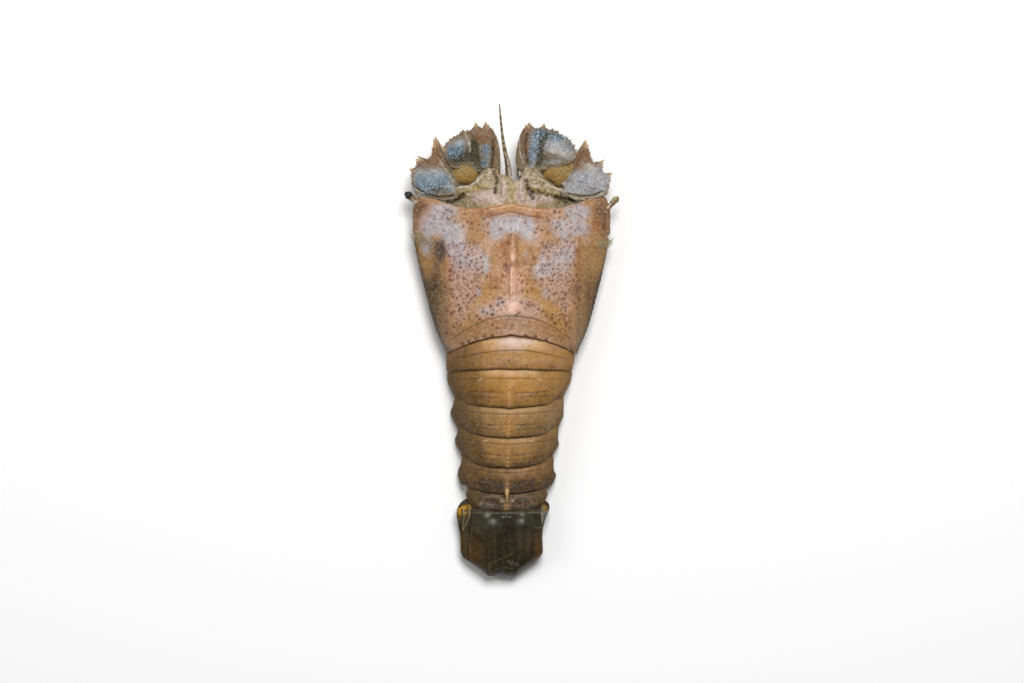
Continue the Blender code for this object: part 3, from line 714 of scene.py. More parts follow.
def ring_marks(ring, s, v, x, y):
    """Where everything lies that is raised on a ring or cut into it, from 0 to about 1."""
    number, free = ring["number"], ring["free"]
    away, aside = np.abs(s), np.abs(x)
    wide, close = uneven(x, y, 6, 70 + number), uneven(x, y, 1.8, 80 + number)
    wavy = 0.015 * uneven(x, 0 * x, 7, 50 + number)
    back = fade(away, 0.62, 0.8)
    cross = bell(v - (0.3 if number else 0.5) - 0.05 * (x / 20) ** 2 - wavy, 0.022)
    ridges = (bell(v - 0.64 - wavy, 0.034) + 0.7 * bell(v - 0.76 + wavy, 0.026)) * ramp(aside, 1.8, 3.2)
    corner = 0.8 - 0.2 * ramp(v, 0.45, 1.05) + 0.02 * wide
    ticks = 0.5 + 0.5 * np.cos(2 * np.pi * x / 1.1 + 1.5 * close)
    ticks = ticks * blob(v, aside, (0.36, 4), (0.1, 9))
    beads = 0 * x
    if ring["keel"]:
        beads = bell(x, 0.6 if ring["granule"] else 1.3) * ramp(v, 0.42, 0.55)
    if ring["granule"]:
        beads = beads * (0.5 + 0.5 * np.abs(np.cos(np.pi * y / ring["granule"])) ** 2)
    rng = np.random.default_rng(60 + number)
    front = edge_run(*ring["before"], 0)
    spots = np.column_stack([rng.uniform(-18, 18, 90), rng.uniform(ring["rear"], front, 90)])
    arcs = bell(off_line(aside, y, [(3.4, -62.6), (6.6, -62.3), (9, -63.4), (10.6, -66.2)]), 0.8)
    return {
        "wide": wide, "close": close, "back": back, "cross": cross * back, "beads": beads,
        "ridges": ridges * fade(away, 0.34, 0.62) * free,
        "swell": blob(aside, v, (12.5, 0.72), (4.5, 0.12)) * free,
        "leaf_edge": bell(away - corner, 0.03) * ramp(v, 0.1, 0.4) * free,
        "leaf": ramp(away - corner, -0.01, 0.05) * free, "ticks": ticks * (number in (2, 3)),
        "pits": dots(x, y, spots, rng.uniform(0.16, 0.3, 90)) * back * ramp(v, 0.4, 0.5),
        "stripes": uneven(x * 4.5, y * 0.4, 2.5, 95 + number, 2) * back * fade(v, 0.42, 0.55),
        "arcs": arcs * (number == 5),
    }


def ring_relief(ring, away, x, y, marks):
    """How far the marks stand out of the arch, in millimetres."""
    wide, groove = marks["wide"], 0.25 if ring["number"] else 0.4
    height = 0.22 * wide + 0.06 * marks["close"] + 0.3 * wide * ramp(away, 0.6, 0.8)
    height += ring["keel"] * marks["beads"] + 0.4 * marks["swell"] + 0.06 * marks["ticks"]
    height -= groove * marks["cross"] + 0.04 * marks["ridges"] + 0.35 * marks["leaf_edge"]
    height -= 0.3 * marks["leaf"] * fade(away, 0.85, 1)
    height += 0.04 * marks["stripes"] - 0.08 * marks["pits"]
    if ring["number"] == 5:
        height += 0.6 * marks["arcs"] - 0.5 * blob(np.abs(x), y, (6.2, -65.8), (3, 1.8))
        height += 0.3 * blob(np.abs(x), y, (2.4, -64.4), (1.2, 1.2))
    return height


def ring_colours(ring, away, v, x, y, marks):
    """How strongly each colour lies on a ring: fields along and across it, and its marks."""
    number, aside = ring["number"], np.abs(x)
    wide, close, back, arcs = (marks[name] for name in ("wide", "close", "back", "arcs"))
    streaks = uneven(x * 2.4, y * 0.35, 2, 120 + number, 3)
    patches = uneven(x, y * 1.6, 4.5, 130 + number)

    # Painted shade over each ring's own tone: darker towards the sides of the arch, the left and the
    # rear. Painted light: a lighter band just behind the edge of the ring before, where the front of
    # the ring faces the lamp.
    shade = 0.8 * ring["dark"] + np.where(x < 0, 0.4, 0.1) * ramp(aside / ring["half"], 0.25, 1)
    shade += 0.5 * ramp(-x, 3, 18) + 0.2 * wide + 0.35 * ramp(v, 0.45, 1) + 0.1 * streaks
    light = ramp(v, 0.05, 0.1) * fade(v, 0.15, 0.3) * fade(aside, 9, 15)
    light *= ring["light"] * (1 + 0.25 * streaks)
    # The side leaves: their own darker brown, with painted shade that makes the left ones far darker than
    # the right, and darker down the sides of the arch.
    rim = marks["leaf"] * (0.75 + 0.4 * wide) * np.where(x < 0, 1.25, 0.35)
    rim += 0.3 * ramp(away, 0.5, 0.8) + 0.6 * marks["swell"]
    drab = 0.5 - 0.5 * patches + 0.35 * ramp(aside, 4, 16)
    gold = ring["gold"] * (0.9 * blob(x, v, (-3, 0.45), (10, 0.4)) - 0.4 * patches)
    gold += 0.8 * blob(x, v, (0.3, 0.75), (2.4, 0.3)) * (number in (1, 2))

    # Dark lines in the grooves and along the rear edge, pale flecks on the tips of the teeth.
    line = 0.4 * marks["cross"] * (0.8 - 0.4 * close) + 0.75 * marks["ridges"] * (0.9 + 0.3 * close)
    line += 0.5 * ramp(v, 0.955, 0.99) + 0.7 * marks["leaf_edge"] + 0.3 * marks["ticks"]
    line += 0.12 * ramp(streaks, 0.3, 0.9) * ramp(v, 0.35, 0.5)
    fleck = ring["free"] * 0.7 * bell(away - 0.93, 0.03) * ramp(v, 0.92, 1)
    haze_and_sheen, band = np.zeros(x.shape), 0.15 * ramp(v, 0.55, 0.9) + 0 * x

    # What single rings have: a painted highlight and painted reflection across the front of the first,
    # two short painted glints on the second and fourth, and dark bands on the fourth, fifth and sixth.
    if number == 0:
        light += 0.8 * fade(v, 0.25, 0.6) * fade(np.abs(x - 2), 6, 18)
        haze_and_sheen = 0.75 * blob(x, y, (0.5, -0.2), (5, 1.8)) + 0.4 * blob(x, y, (0.5, -3), (9, 2.2))
        haze_and_sheen += 0.5 * blob(x, y, (7.5, -0.6), (3, 1))
    elif number in PALE_GLINTS:
        glint_x, glint_y = PALE_GLINTS[number]
        glint = [(glint_x - 0.8, glint_y + 0.15), (glint_x + 0.7, glint_y - 0.3)]
        fleck = fleck + 0.45 * bell(off_line(aside, y, glint), 0.3)
    if number == 3:
        band += 0.55 * bell(v - 0.93, 0.10) * ramp(aside, 0.8, 2.5) * fade(aside, 8, 12)
    elif number == 4:
        band = 0.25 + 0.85 * bell(v - 0.7, 0.2) * ramp(aside, 0.8, 3) * fade(aside, 9, 13)
        band += 0.3 * ramp(v, 0.6, 0.9)
    elif number == 5:
        haze_and_sheen = 0.16 * blob(aside, y, (6.2, -65), (5, 3))
        band = 0.75 + 0.5 * blob(aside, y, (6.2, -65.8), (3.6, 2.2)) + 0.3 * ramp(-y, 62.5, 68.5)
        band -= 0.45 * ramp(aside, 9, 13)
        fleck = fleck + 0.6 * blob(x, y, (-1.9, -64.4), (0.7, 0.5)) + 0.22 * arcs * (0.7 + 0.5 * close)
        fleck += 0.6 * blob(x, y, (2.4, -64.3), (0.6, 0.5))
    return {
        "light": light + 0.06 * close, "shade": shade, "gold": gold, "drab": drab * ring["drab"],
        "rose": (0.45 + 0.7 * patches) * back * ring["rose"], "rim": rim * ring["free"],
        "band": band + 0.15 * close, "line": line + 0.1 * close, "haze_and_sheen": haze_and_sheen, "spot": fleck,
        "bead": marks["beads"] * (0.85 if ring["granule"] else 0.6), "pit": marks["pits"],
        "steep": ramp(away, 0.45, 0.75),
    }


def build_ring(number, before, columns=260, rows=110):
    """Arch carried along the tail, bent to the tail's lean; its rear edge is returned."""
    ring = measured_ring(number, before)
    s = np.linspace(1, -1, columns)[None, :]
    s = 0.75 * s + 0.25 * np.sin(np.pi * s / 2) ** 3 + np.zeros((rows, 1))
    v = np.linspace(0, 1, rows)[:, None] ** 0.9 + np.zeros((1, columns))
    x, y, z = ring_point(ring, s, v)
    marks = ring_marks(ring, s, v, x, y)
    z = z + ring_relief(ring, np.abs(s), x, y, marks)
    masks = ring_colours(ring, np.abs(s), v, x, y, marks)
    rim_s, rim_v = rim_of(s), rim_of(v)

    def under(k):
        """Down the inner side of the rim, then across the soft underside of the tail."""
        if k > 0.9:
            px, py, pz = ring_point(ring, rim_s * k, 0.5 + (rim_v - 0.5) * k, 0.8)
        else:
            px, py, pz = ring_point(ring, rim_s * k, 0.47 + (rim_v - 0.5) * 0.84 * k, 0.9)
            soft = ring["floor"] + 2.6 - 0.6 * np.cos(2 * np.pi * (py - ring["rear"]) / 12)
            pz = np.minimum(pz, soft)
        return np.column_stack([px + through(TAIL_LEAN, py), py, pz])

    top = np.stack([x + through(TAIL_LEAN, y), y, z], axis=-1)
    shrink = np.concatenate([[1, 0.985, 0.94, 0.9], np.linspace(0.85, 0.02, 12)])
    node = f"tail_ring_{number + 1}"
    plate(f"ring_{number + 1}", top, under, masks, RING_FINISH, [node], shrink)
    return ring["rear"], ring["bow"]


# The same raw chitin, thinner, worn smooth and wet: warm brown under a faint gloss, with darker
# grooves, pale granules on the keel and clouds a few millimetres wide.
RING_FINISH = chitin(
    "wet_ring_chitin", "#a67b42",
    [
        # The pale front band and the whitish haze are painted highlight and reflection; the shade and the
        # dark rim of the leaves are partly painted shade.
        ("rose", "#a67d60", 0.75, 0.15), ("drab", "#917a55", 0.8, 0.15), ("gold", "#b07c34", 0.75, 0.15),
        ("light", "#cda471", 0.85, 0.1), ("shade", "#3c2a0e", 0.75, 0.1), ("rim", "#54400f", 0.6, 0.15),
        ("band", "#38322a", 0.85, 0.08), ("haze_and_sheen", "#d0c0c0", 0.85, 0.2), ("line", "#3d2410", 0.8, 0),
        ("bead", "#c99b69", 0.6, 0), ("spot", "#d6c6a2", 0.8, 0), ("pit", "#42230f", 0.75, 0),
        ("under", "#a08d70", 1, 0),
    ],
    grain=[
        (4, "#6c481c", 0.45, 0.75, 0.22), (1, "#d8b488", 0.45, 0.7, 0.12),
        (0.8, "#4e3010", 0.45, 0.7, 0.12),
    ],
    relief=[(0.6, 0.05), (1.8, 0.12)], roughness=(0.34, 0.5), coat=0.06, coat_roughness=0.2,
    specular=0.14,
)
edge = (SHIELD_REAR, SHIELD_BOW)
for number in range(len(RINGS)):
    edge = build_ring(number, edge)

# --------------------------------------
# Tail fan. The telson is a hard plate at its root and then a thin leather, almost black and
# smooth, that is rolled under the tail with two pairs of paddles inside it.

FAN_SLOPE = math.radians(12)
FAN_REAR, FAN_LEVEL = -94.3, 15.65
HARD_ROOT_Y, FOLD_Y = -68.8, -88
# Side edges, as X along Y: the paddles' outer hems and the telson's.
LEFT_HEM = [
    (-95, -20.5), (-86, -20.5), (-78, -20.8), (-74, -21.4), (-70.1, -22.1), (-67.4, -21.6),
    (-65.4, -20.2), (-63.6, -17.4),
]
RIGHT_HEM = [
    (-95, 12.6), (-87, 12.7), (-75, 12.8), (-72, 13.6), (-69.5, 14.6), (-67.6, 15.3), (-66, 15),
    (-64.2, 12.6),
]
TELSON_LEFT = [(-95, -16.8), (-88, -17), (-82, -17), (-75, -16.1), (-68.8, -15.6)]
TELSON_RIGHT = [(-95, 12.5), (-82, 12.5), (-75, 12.1), (-68.8, 11.6)]
# Of each sheet: where it starts, how far below the telson, its thickness and the radius of its
# fold, its side edges as X along Y and how far in from them it stays, and how short it ends.
SHEETS = {
    "telson": {
        "start": -67.4, "below": 0, "thick": 1.4, "roll": 5.08, "left": TELSON_LEFT,
        "right": TELSON_RIGHT, "inset": (0, 0), "short": 0,
    },
    "paddle_inner_left": {
        "start": -64.4, "below": 2.2, "thick": 1, "roll": 3.3, "left": LEFT_HEM,
        "right": [(-95, -5.2), (-60, -5.2)], "inset": (1.3, 0), "short": 1,
    },
    "paddle_inner_right": {
        "start": -64.8, "below": 2.2, "thick": 1, "roll": 3.3, "left": [(-95, 1.2), (-60, 1.2)],
        "right": RIGHT_HEM, "inset": (0, 0.8), "short": 1,
    },
    "paddle_outer_left": {
        "start": -63.8, "below": 3.8, "thick": 0.9, "roll": 1.6, "left": LEFT_HEM,
        "right": [(-95, -9), (-60, -9)], "inset": (0, 0), "short": 4,
    },
    "paddle_outer_right": {
        "start": -64.4, "below": 3.8, "thick": 0.9, "roll": 1.6, "left": [(-95, 5), (-60, 5)],
        "right": RIGHT_HEM, "inset": (0, 0), "short": 4,
    },
}
# In plan: the yellow skin at the paddles' roots as ovals (centre, size, share), veins and creases
# as (points, half width), bosses as (x, y, radius), tiny bumps with painted glints and the telson's brown
# sides.
FAN_GOLD = [
    ((-20, -65.6), (1.5, 2.4), 1.3), ((-20.9, -69.4), (0.7, 2.6), 1), ((-17, -65.4), (1.5, 1.5), 1.2),
    ((-18.6, -68), (1, 1.6), 0.7), ((13.8, -65.6), (1.3, 2.2), 1.3),
]
FAN_VEINS = [
    ([(-19.2, -64.6), (-19.4, -67.6), (-19, -70.4), (-19.8, -76.2)], 0.3),
    ([(-17, -66.6), (-16.8, -70.2), (-18.2, -73.6), (-19.6, -76.4)], 0.3),
    ([(12.5, -66), (12.4, -72), (12, -76)], 0.35),
]
FAN_CREASES = [
    ([(-8.7, -89.7), (-5.2, -88), (-2.6, -87), (0.2, -85.4)], 0.16), ([(-9, -90), (-8.8, -92.8)], 0.4),
    ([(-6.4, -91.6), (-3, -91), (0.4, -91.6)], 0.3),
]
FAN_BOSSES = [
    (-9.6, -69.9, 1.3), (-7.6, -72.8, 1.4), (4.4, -69.7, 1.2), (4, -72.6, 1.4), (-3.4, -70.7, 0.5),
    (-2, -70.5, 0.5), (-0.6, -70.8, 0.5),
]
GLINT_DOTS = [
    (-1.3, -88.7), (-0.5, -89.2), (0.4, -88.8), (1.2, -89.5), (0.2, -90), (2, -89.2), (2.6, -90.1),
    (1.6, -90.5),
]
BROWN_SIDES = [((-12, -84), (4, 6), 0.45), ((9.5, -84), (3, 7), 0.4)]


def fold_share(x):
    """Millimetres sooner that a sheet folds at x: the fan's rear edge slants off at both sides."""
    away = np.abs(x + 4)
    slant = 0.72 * np.clip(away - 5.2, 0, None) * ramp(away, 4.5, 7.5)
    return slant + 0.5 * bell(x + 4.6, 1.6) + 1.3 * ramp(away, 15.2, 17)


def sheet_sides(sheet, y):
    """X of a sheet's left and right edges at y."""
    return through(sheet["left"], y) + sheet["inset"][0], through(sheet["right"], y) - sheet["inset"][1]


def sheet_point(sheet, u, run, out):
    """Point u across and run along a sheet, that far out from its middle, from 0 to 1.

    Straight down the fan's slope, a half turn downwards, then forward again under the tail. Each
    sheet is bowed across and sunk at its root, where it goes in under the last ring.
    """
    start, roll, hidden = sheet["start"], sheet["roll"], sheet["below"] > 0
    fall, lean = math.sin(FAN_SLOPE), math.cos(FAN_SLOPE)
    left, right = sheet_sides(sheet, FOLD_Y)
    folded_x = left + (right - left) * u
    nested = 0.9 * sheet["below"] * ramp(folded_x, -17.4, -15.6) * fade(folded_x, 12, 12.6)
    straight = (start - roll * (1 - fall) - FAN_REAR - fold_share(folded_x) - nested) / lean
    turn = (math.pi - FAN_SLOPE) * roll
    tuck = 18 - sheet["short"] - 0.02 * (folded_x + 4) ** 2
    s = run * (straight + turn + tuck)
    back, ahead = np.minimum(s, straight), np.clip(s - straight - turn, 0, None)
    angle = FAN_SLOPE + np.clip(s - straight, 0, turn) / roll
    y = start - back * lean - roll * (np.sin(angle) - fall) + ahead
    z = FAN_LEVEL - sheet["below"] - (back + HARD_ROOT_Y - start) * fall - roll * (lean - np.cos(angle))
    left, right = sheet_sides(sheet, y)
    x = left + (right - left) * u
    level = FAN_LEVEL - sheet["below"] - 1.4
    z = z - 2 * ((x + 2) / 14.8) ** 2 * np.clip((z - 5) / (level - 5), 0, 1)
    depth, reach = (6, 5.5) if hidden else (1.6, 2.2)
    z = z - depth * fade(start - y, -0.5, reach) * (s < straight)
    angle = np.where(ahead > 0, math.pi, angle)
    return np.stack([x, y - np.sin(angle) * out, z + np.cos(angle) * out], axis=-1)


def leather_marks(sheet, middle, run):
    """How far the relief stands out of a sheet, and how strongly each colour lies on it.

    Hidden sheets show only at their roots: yellow skin, pale veins and, on the right, a blue
    bloom. The telson has bosses under a painted gleam, creases, a wrinkled fold and tiny bumps
    with painted glints.
    """
    x, y, hidden = middle[..., 0], middle[..., 1], sheet["below"] > 0
    above = middle[..., 2] > 7.5
    wide, close = uneven(x, run * 60, 9, 110), uneven(x, run * 60, 1.6, 111)
    streaks = uneven(x * 3, run * 16, 5, 113, 2)
    left, right = sheet_sides(sheet, y)
    hem = np.minimum(x - left, right - x)
    hard = fade(-y - 0.8 * wide - 1.2 * streaks * bell(x + 2, 9), 73.6, 76.4) * above * (not hidden)
    veins = sum(bell(off_line(x, y, line) + 0.2 * close, width) for line, width in FAN_VEINS)
    veins = above * veins * (0.7 + 0.7 * close)
    gold = above * hidden * np.clip(oval_patches(x, y, FAN_GOLD) * (0.7 + 1.5 * uneven(x, y, 1.1, 116)), 0, 1)
    relief = 0.3 * wide + 0.06 * close + 0.3 * bell(hem - 1.4, 0.8) * hidden + 0.2 * gold + 0.15 * veins
    masks = {
        "boss": 0 * x, "gold": gold, "vein": bell(gold - 0.55, 0.16) * hidden, "pale": veins,
        "blue": hidden * above * (x > 0) * bell(-y - 70.5, 3.6),
        "hard": hard * (0.8 + 0.3 * wide) + 0.5 * hidden * above,
    }
    if not hidden:
        bosses = sum(blob(x, y, spot[:2], (spot[2], 0.8 * spot[2])) for spot in FAN_BOSSES) * above
        beads = dots(x, y, GLINT_DOTS, [0.3] * len(GLINT_DOTS)) * above
        creases = sum(bell(off_line(x, y, line), width) for line, width in FAN_CREASES) * above
        relief = relief + 0.8 * bosses + 0.3 * hard + 0.12 * creases + 0.25 * beads
        relief = relief + 0.35 * uneven(x, y, 1.8, 115) * blob(x, y, (-3, -91.4), (7, 2.2)) * above
        # Painted highlights: a pale gleam on the bosses and glints on the tiny bumps.
        masks["boss"] = bosses * (0.75 + 0.5 * close) + 0.8 * beads
        steps = bell(-y - 75 - 0.2 * wide, 0.3) * (ramp(-x, 12.4, 13.2) + ramp(x, 8.4, 9.2))
        pale = 0.35 * creases * (0.5 + 0.8 * close) + 0.3 * steps * above * (0.6 + 0.8 * close)
        pale += 0.25 * bell(hem - 0.2, 0.25) * above * ramp(-y, 74, 76) * (0.7 + 0.6 * close)
        masks["pale"] = pale + 0.35 * bell(-y - 68.7, 0.2) * above * (0.6 + 0.8 * close)
    amber = fade(hem + 0.8 * wide, 0.6, 5) * ramp(-y, 74, 84) * (1 - 0.4 * hidden)
    amber += 0.5 * ramp(-y + 0.35 * np.abs(x + 4), 91, 96) + 0.35 * hidden
    masks["edge"] = (amber + oval_patches(x, y, BROWN_SIDES) * above) * (0.8 + 0.3 * streaks)
    streak = 0.4 + 0.6 * streaks + 0.4 * wide + 0.3 * ramp(np.abs(x + 3), 3, 9)
    streak -= 0.4 * bell(x + 7, 3) * ramp(-y, 76, 80) + 0.3 * blob(x, y, (-12, -80), (3, 4))
    masks["streak"] = streak
    masks["steep"] = np.maximum(fade(hem, 0, 1), fade(middle[..., 2], 5, 9))
    return relief, masks


def build_sheet(node, sheet, columns, rows):
    """A sheet of even thickness; its relief is laid along its own way up."""
    u = np.linspace(0, 1, columns)[None, :] + np.zeros((rows, 1))
    run = np.linspace(0, 1, rows)[:, None] + np.zeros((1, columns))
    half = sheet["thick"] / 2
    relief, masks = leather_marks(sheet, sheet_point(sheet, u, run, 0), run)
    top = sheet_point(sheet, u, run, half + relief)[:, ::-1]
    masks = {mask: values[:, ::-1] for mask, values in masks.items()}
    rim_u, rim_run = rim_of(u[:, ::-1]), rim_of(run[:, ::-1])

    def under(k):
        """The inner side, from the rim to the middle."""
        return sheet_point(
            sheet, 0.5 + (rim_u - 0.5) * k, 0.5 + (rim_run - 0.5) * k, -half if k < 1 else 0,
        )

    name = "telson_leather" if node == "telson" else node.replace("paddle", "fan_paddle")
    shrink = np.concatenate([[1, 0.995], np.linspace(0.97, 0.02, 44)])
    plate(name, top, under, masks, FAN_FINISH, [node], shrink)


# Wet leather, nearly black and smooth: it takes the light as a broad dull gleam.
FAN_FINISH = chitin(
    "wet_fan_leather", "#2b2316",
    [
        ("streak", "#41382a", 0.75, 0), ("edge", "#5a3f16", 0.75, 0.15), ("hard", "#37372a", 0.85, 0.2),
        ("blue", "#66706c", 0.8, 0.2), ("gold", "#b98a20", 1, 0), ("vein", "#33270f", 0.6, 0),
        # The grey-green layer on the bosses and bumps is a painted highlight.
        ("pale", "#9c8a62", 0.8, 0), ("boss", "#8f9283", 0.7, 0), ("under", "#2c2418", 1, 0),
    ],
    grain=[(3.5, "#1c150a", 0.45, 0.7, 0.4), (0.8, "#4a3d22", 0.5, 0.8, 0.3)],
    relief=[(0.5, 0.04), (2.4, 0.12)], roughness=(0.3, 0.5), coat=0.06, coat_roughness=0.16, specular=0.15,
)
for node, sheet in SHEETS.items():
    build_sheet(node, sheet, *((170, 290) if node == "telson" else (110, 190)))

# --------------------------------------
# Antenna plates. Each antenna ends in two flat plates side by side, with toothed rims: granular
# brown shell with a grey-blue bloom on its swellings, amber at the tips of the teeth. Each is
# drawn for the right side and mirrored for the left, and both turn on a hinge at their roots.

# Of each plate: its side, hinge and height there, how strongly the painted glint lies on its pale blue
# granules, and (degrees, mm) of the tips and notches of its rim. Then where it is swollen, and the patches
# of
# blue bloom, lilac, brown and olive: (centre, size, share). Grooves, ridges and pale streaks are
# (line, width).
PLATES = {}
PLATES["antenna_fan_left"] = {
    "side": -1, "hinge": (11.2, 67.2), "base": 12.6, "granule_glints": 0.9,
    "rim": [
        (8, 13), (16, 15), (25, 17.6), (30.5, 20), (34, 18.5), (38.7, 18.9), (41, 18.3), (44.6, 18.9),
        (47, 18.2), (49.6, 18.6), (52, 17.9), (54.1, 18.2), (57, 17.8), (59.4, 18.4), (61.5, 18.1),
        (63.4, 18.8), (66, 17.6), (68, 18), (71, 17.2), (74, 17.6), (77, 18.2), (81, 20.1), (85, 18),
        (88.7, 17.3), (90, 18.4), (92, 20), (96, 18.6), (102.7, 17.2), (110, 15.2), (116, 13.6),
        (124, 11.6), (132.5, 9.9), (150, 7.9), (170, 6.9), (188, 6.6),
    ],
    "dome": [((22.4, 75.6), (4.2, 4.2), 1.5), ((12.5, 82), (3.5, 3), 0.7), ((10.4, 73.6), (2.2, 5), 0.8)],
    "groove": [
        ([(14.8, 79), (14.6, 75.5), (14.2, 72), (12.6, 68.5)], 1.3),
        ([(7.6, 80), (7.3, 74), (8.2, 68.5)], 0.45),
    ],
    "ridge": [([(6.6, 84), (5.4, 79), (5, 74.5)], 0.6)],
    "blue": [
        ((23.6, 75.2), (2.4, 2.8), 1.5), ((20.4, 75.6), (2.4, 3.2), 0.75),
        ((10.4, 75.8), (1.7, 2.6), 1.2), ((10.9, 71), (1.4, 2.2), 0.9),
    ],
    "lilac": [((20.4, 78.6), (3, 1.8), 1.3), ((25, 78), (1.4, 1.4), 0.6), ((9.8, 72.6), (0.9, 3.4), 0.7)],
    "brown": [((12, 81.6), (4.4, 3), 1.6), ((6.8, 74.5), (1, 6), 1.1), ((27.2, 77.6), (1.2, 1.6), 0.8)],
    "pale": [
        ([(6.6, 84.2), (5.5, 79.2), (5.1, 74.5)], 0.5), ([(18.4, 82.8), (17.4, 79)], 0.7),
        ([(17, 80), (16.6, 75.6)], 0.5),
    ],
    "olive": [
        ((18.4, 72.8), (4.4, 1.5), 1.5), ((17.2, 76.6), (1.8, 4.4), 0.9), ((14.6, 74.5), (1.4, 4.6), 1.1),
        ((23.6, 71.4), (3, 1.4), 1.2),
    ],
}
PLATES["antenna_fan_right"] = {
    "side": 1, "hinge": (8.6, 67.2), "base": 12.6, "granule_glints": 1.3,
    "rim": [
        (12, 14.5), (16, 17), (20, 18.3), (26.7, 19.4), (29, 18.8), (32.5, 19.9), (36, 19), (40.2, 19.7),
        (43, 19.1), (46, 19.5), (49, 18.6), (51.7, 18.9), (55, 18.3), (59.4, 19.3), (62, 18.4),
        (65.5, 18.9), (69, 17.9), (73.3, 18.2), (76.8, 19.9), (81, 17.9), (85, 17.3), (90, 17.9),
        (94.5, 19.7), (99, 18.6), (104, 17.3), (110, 15.6), (116.4, 13.6), (125, 11.4), (139.5, 9.2),
        (150, 8), (168, 6.6),
    ],
    "dome": [((18.6, 75.6), (6.4, 4.6), 1.6), ((9, 76), (1.8, 6), 0.6)],
    "groove": [
        ([(14.2, 82), (12.2, 78), (11.3, 73.5), (10.4, 69.5)], 0.9),
        ([(6.3, 82.5), (5.4, 77), (6.6, 70.5)], 0.5),
    ],
    "ridge": [([(4, 84.4), (3.2, 80), (3.4, 75), (4.6, 70.6)], 0.6)],
    "blue": [
        ((9.6, 78.5), (1.7, 4.4), 1.3), ((7.9, 74), (1.2, 3.6), 1.2), ((12, 82.6), (2.2, 1.8), 1.6),
        ((19, 81.2), (4.6, 2), 1.1), ((23.6, 77.2), (2.4, 3), 0.8),
    ],
    "lilac": [
        ((17.5, 77.8), (5.4, 2.8), 1.1), ((22, 75), (4, 2.4), 1), ((16, 71.4), (4, 1), 0.8),
        ((9, 77), (1.3, 6), 1.3),
    ],
    "brown": [((6, 79.6), (1.5, 6), 1.5), ((7.4, 84.8), (1.6, 1.4), 1), ((24.6, 80.2), (1.2, 1.4), 0.5)],
    "pale": [
        ([(4, 84.4), (3.2, 80), (3.4, 75), (4.6, 70.6)], 0.45),
        ([(16, 75.6), (19.4, 74.4), (23, 74.8)], 0.9),
    ],
    "olive": [((11.6, 76.4), (1, 6), 1.3), ((14, 72.2), (2.2, 1.4), 0.8)],
}
PLATES["antenna_plate_left"] = {
    "side": -1, "hinge": (20.5, 61), "base": 12.2, "granule_glints": 1.15,
    "rim": [
        (-75, 4.4), (-58, 5.6), (-36, 8.6), (-26, 10.6), (-17, 13.3), (-8.6, 17.4), (-3, 18.6),
        (3.6, 19.3), (8, 19.4), (13, 20), (16, 20), (20.2, 21.6), (23, 19.8), (26.3, 19.6), (29, 19.9),
        (32.6, 20.9), (34.5, 20.2), (37.2, 21), (39.2, 18.3), (42.3, 16.9), (47, 17), (53.7, 19),
        (60, 21.4), (64.1, 22.9), (66, 18.6), (68, 13), (72, 6),
    ],
    "dome": [((31.5, 62.5), (7, 4.4), 0.9)],
    "groove": [([(23.5, 57.9), (29, 57.3), (34, 58.4), (38, 60.8)], 0.35)],
    "ridge": [
        ([(22.6, 63.4), (26, 68.6), (29.8, 78)], 1), ([(23.5, 56.8), (29, 56.2), (37.6, 59.6)], 0.5),
    ],
    "blue": [((36.4, 62.6), (2.6, 3.4), 1.5), ((31, 62.4), (5, 4), 0.85), ((27, 64.6), (3, 2.2), 0.7)],
    "lilac": [
        ((31.5, 65.4), (5, 2.6), 1.8), ((36.4, 66.2), (2.6, 1.8), 1.3), ((25, 60.8), (2.4, 1.6), 1.2),
        ((33, 61), (4, 2), 0.8),
    ],
    "brown": [
        ((30.6, 73.6), (2.2, 5.5), 1.7), ((36.2, 71.2), (3, 2.2), 1.1), ((39.8, 67.4), (1.2, 1.6), 1.1),
        ((26.6, 71.4), (1.4, 2.4), 0.9),
    ],
    "pale": [
        ([(23.5, 56.6), (29, 56), (34, 57), (38.4, 60.2)], 0.55),
        ([(22.6, 62.6), (26.4, 68), (28.6, 72)], 0.6), ([(36.8, 73.4), (38.4, 71)], 0.9),
    ],
    "olive": [((29, 60.2), (5, 1.5), 0.9), ((24, 64.8), (0.9, 1.6), 0.7)],
}
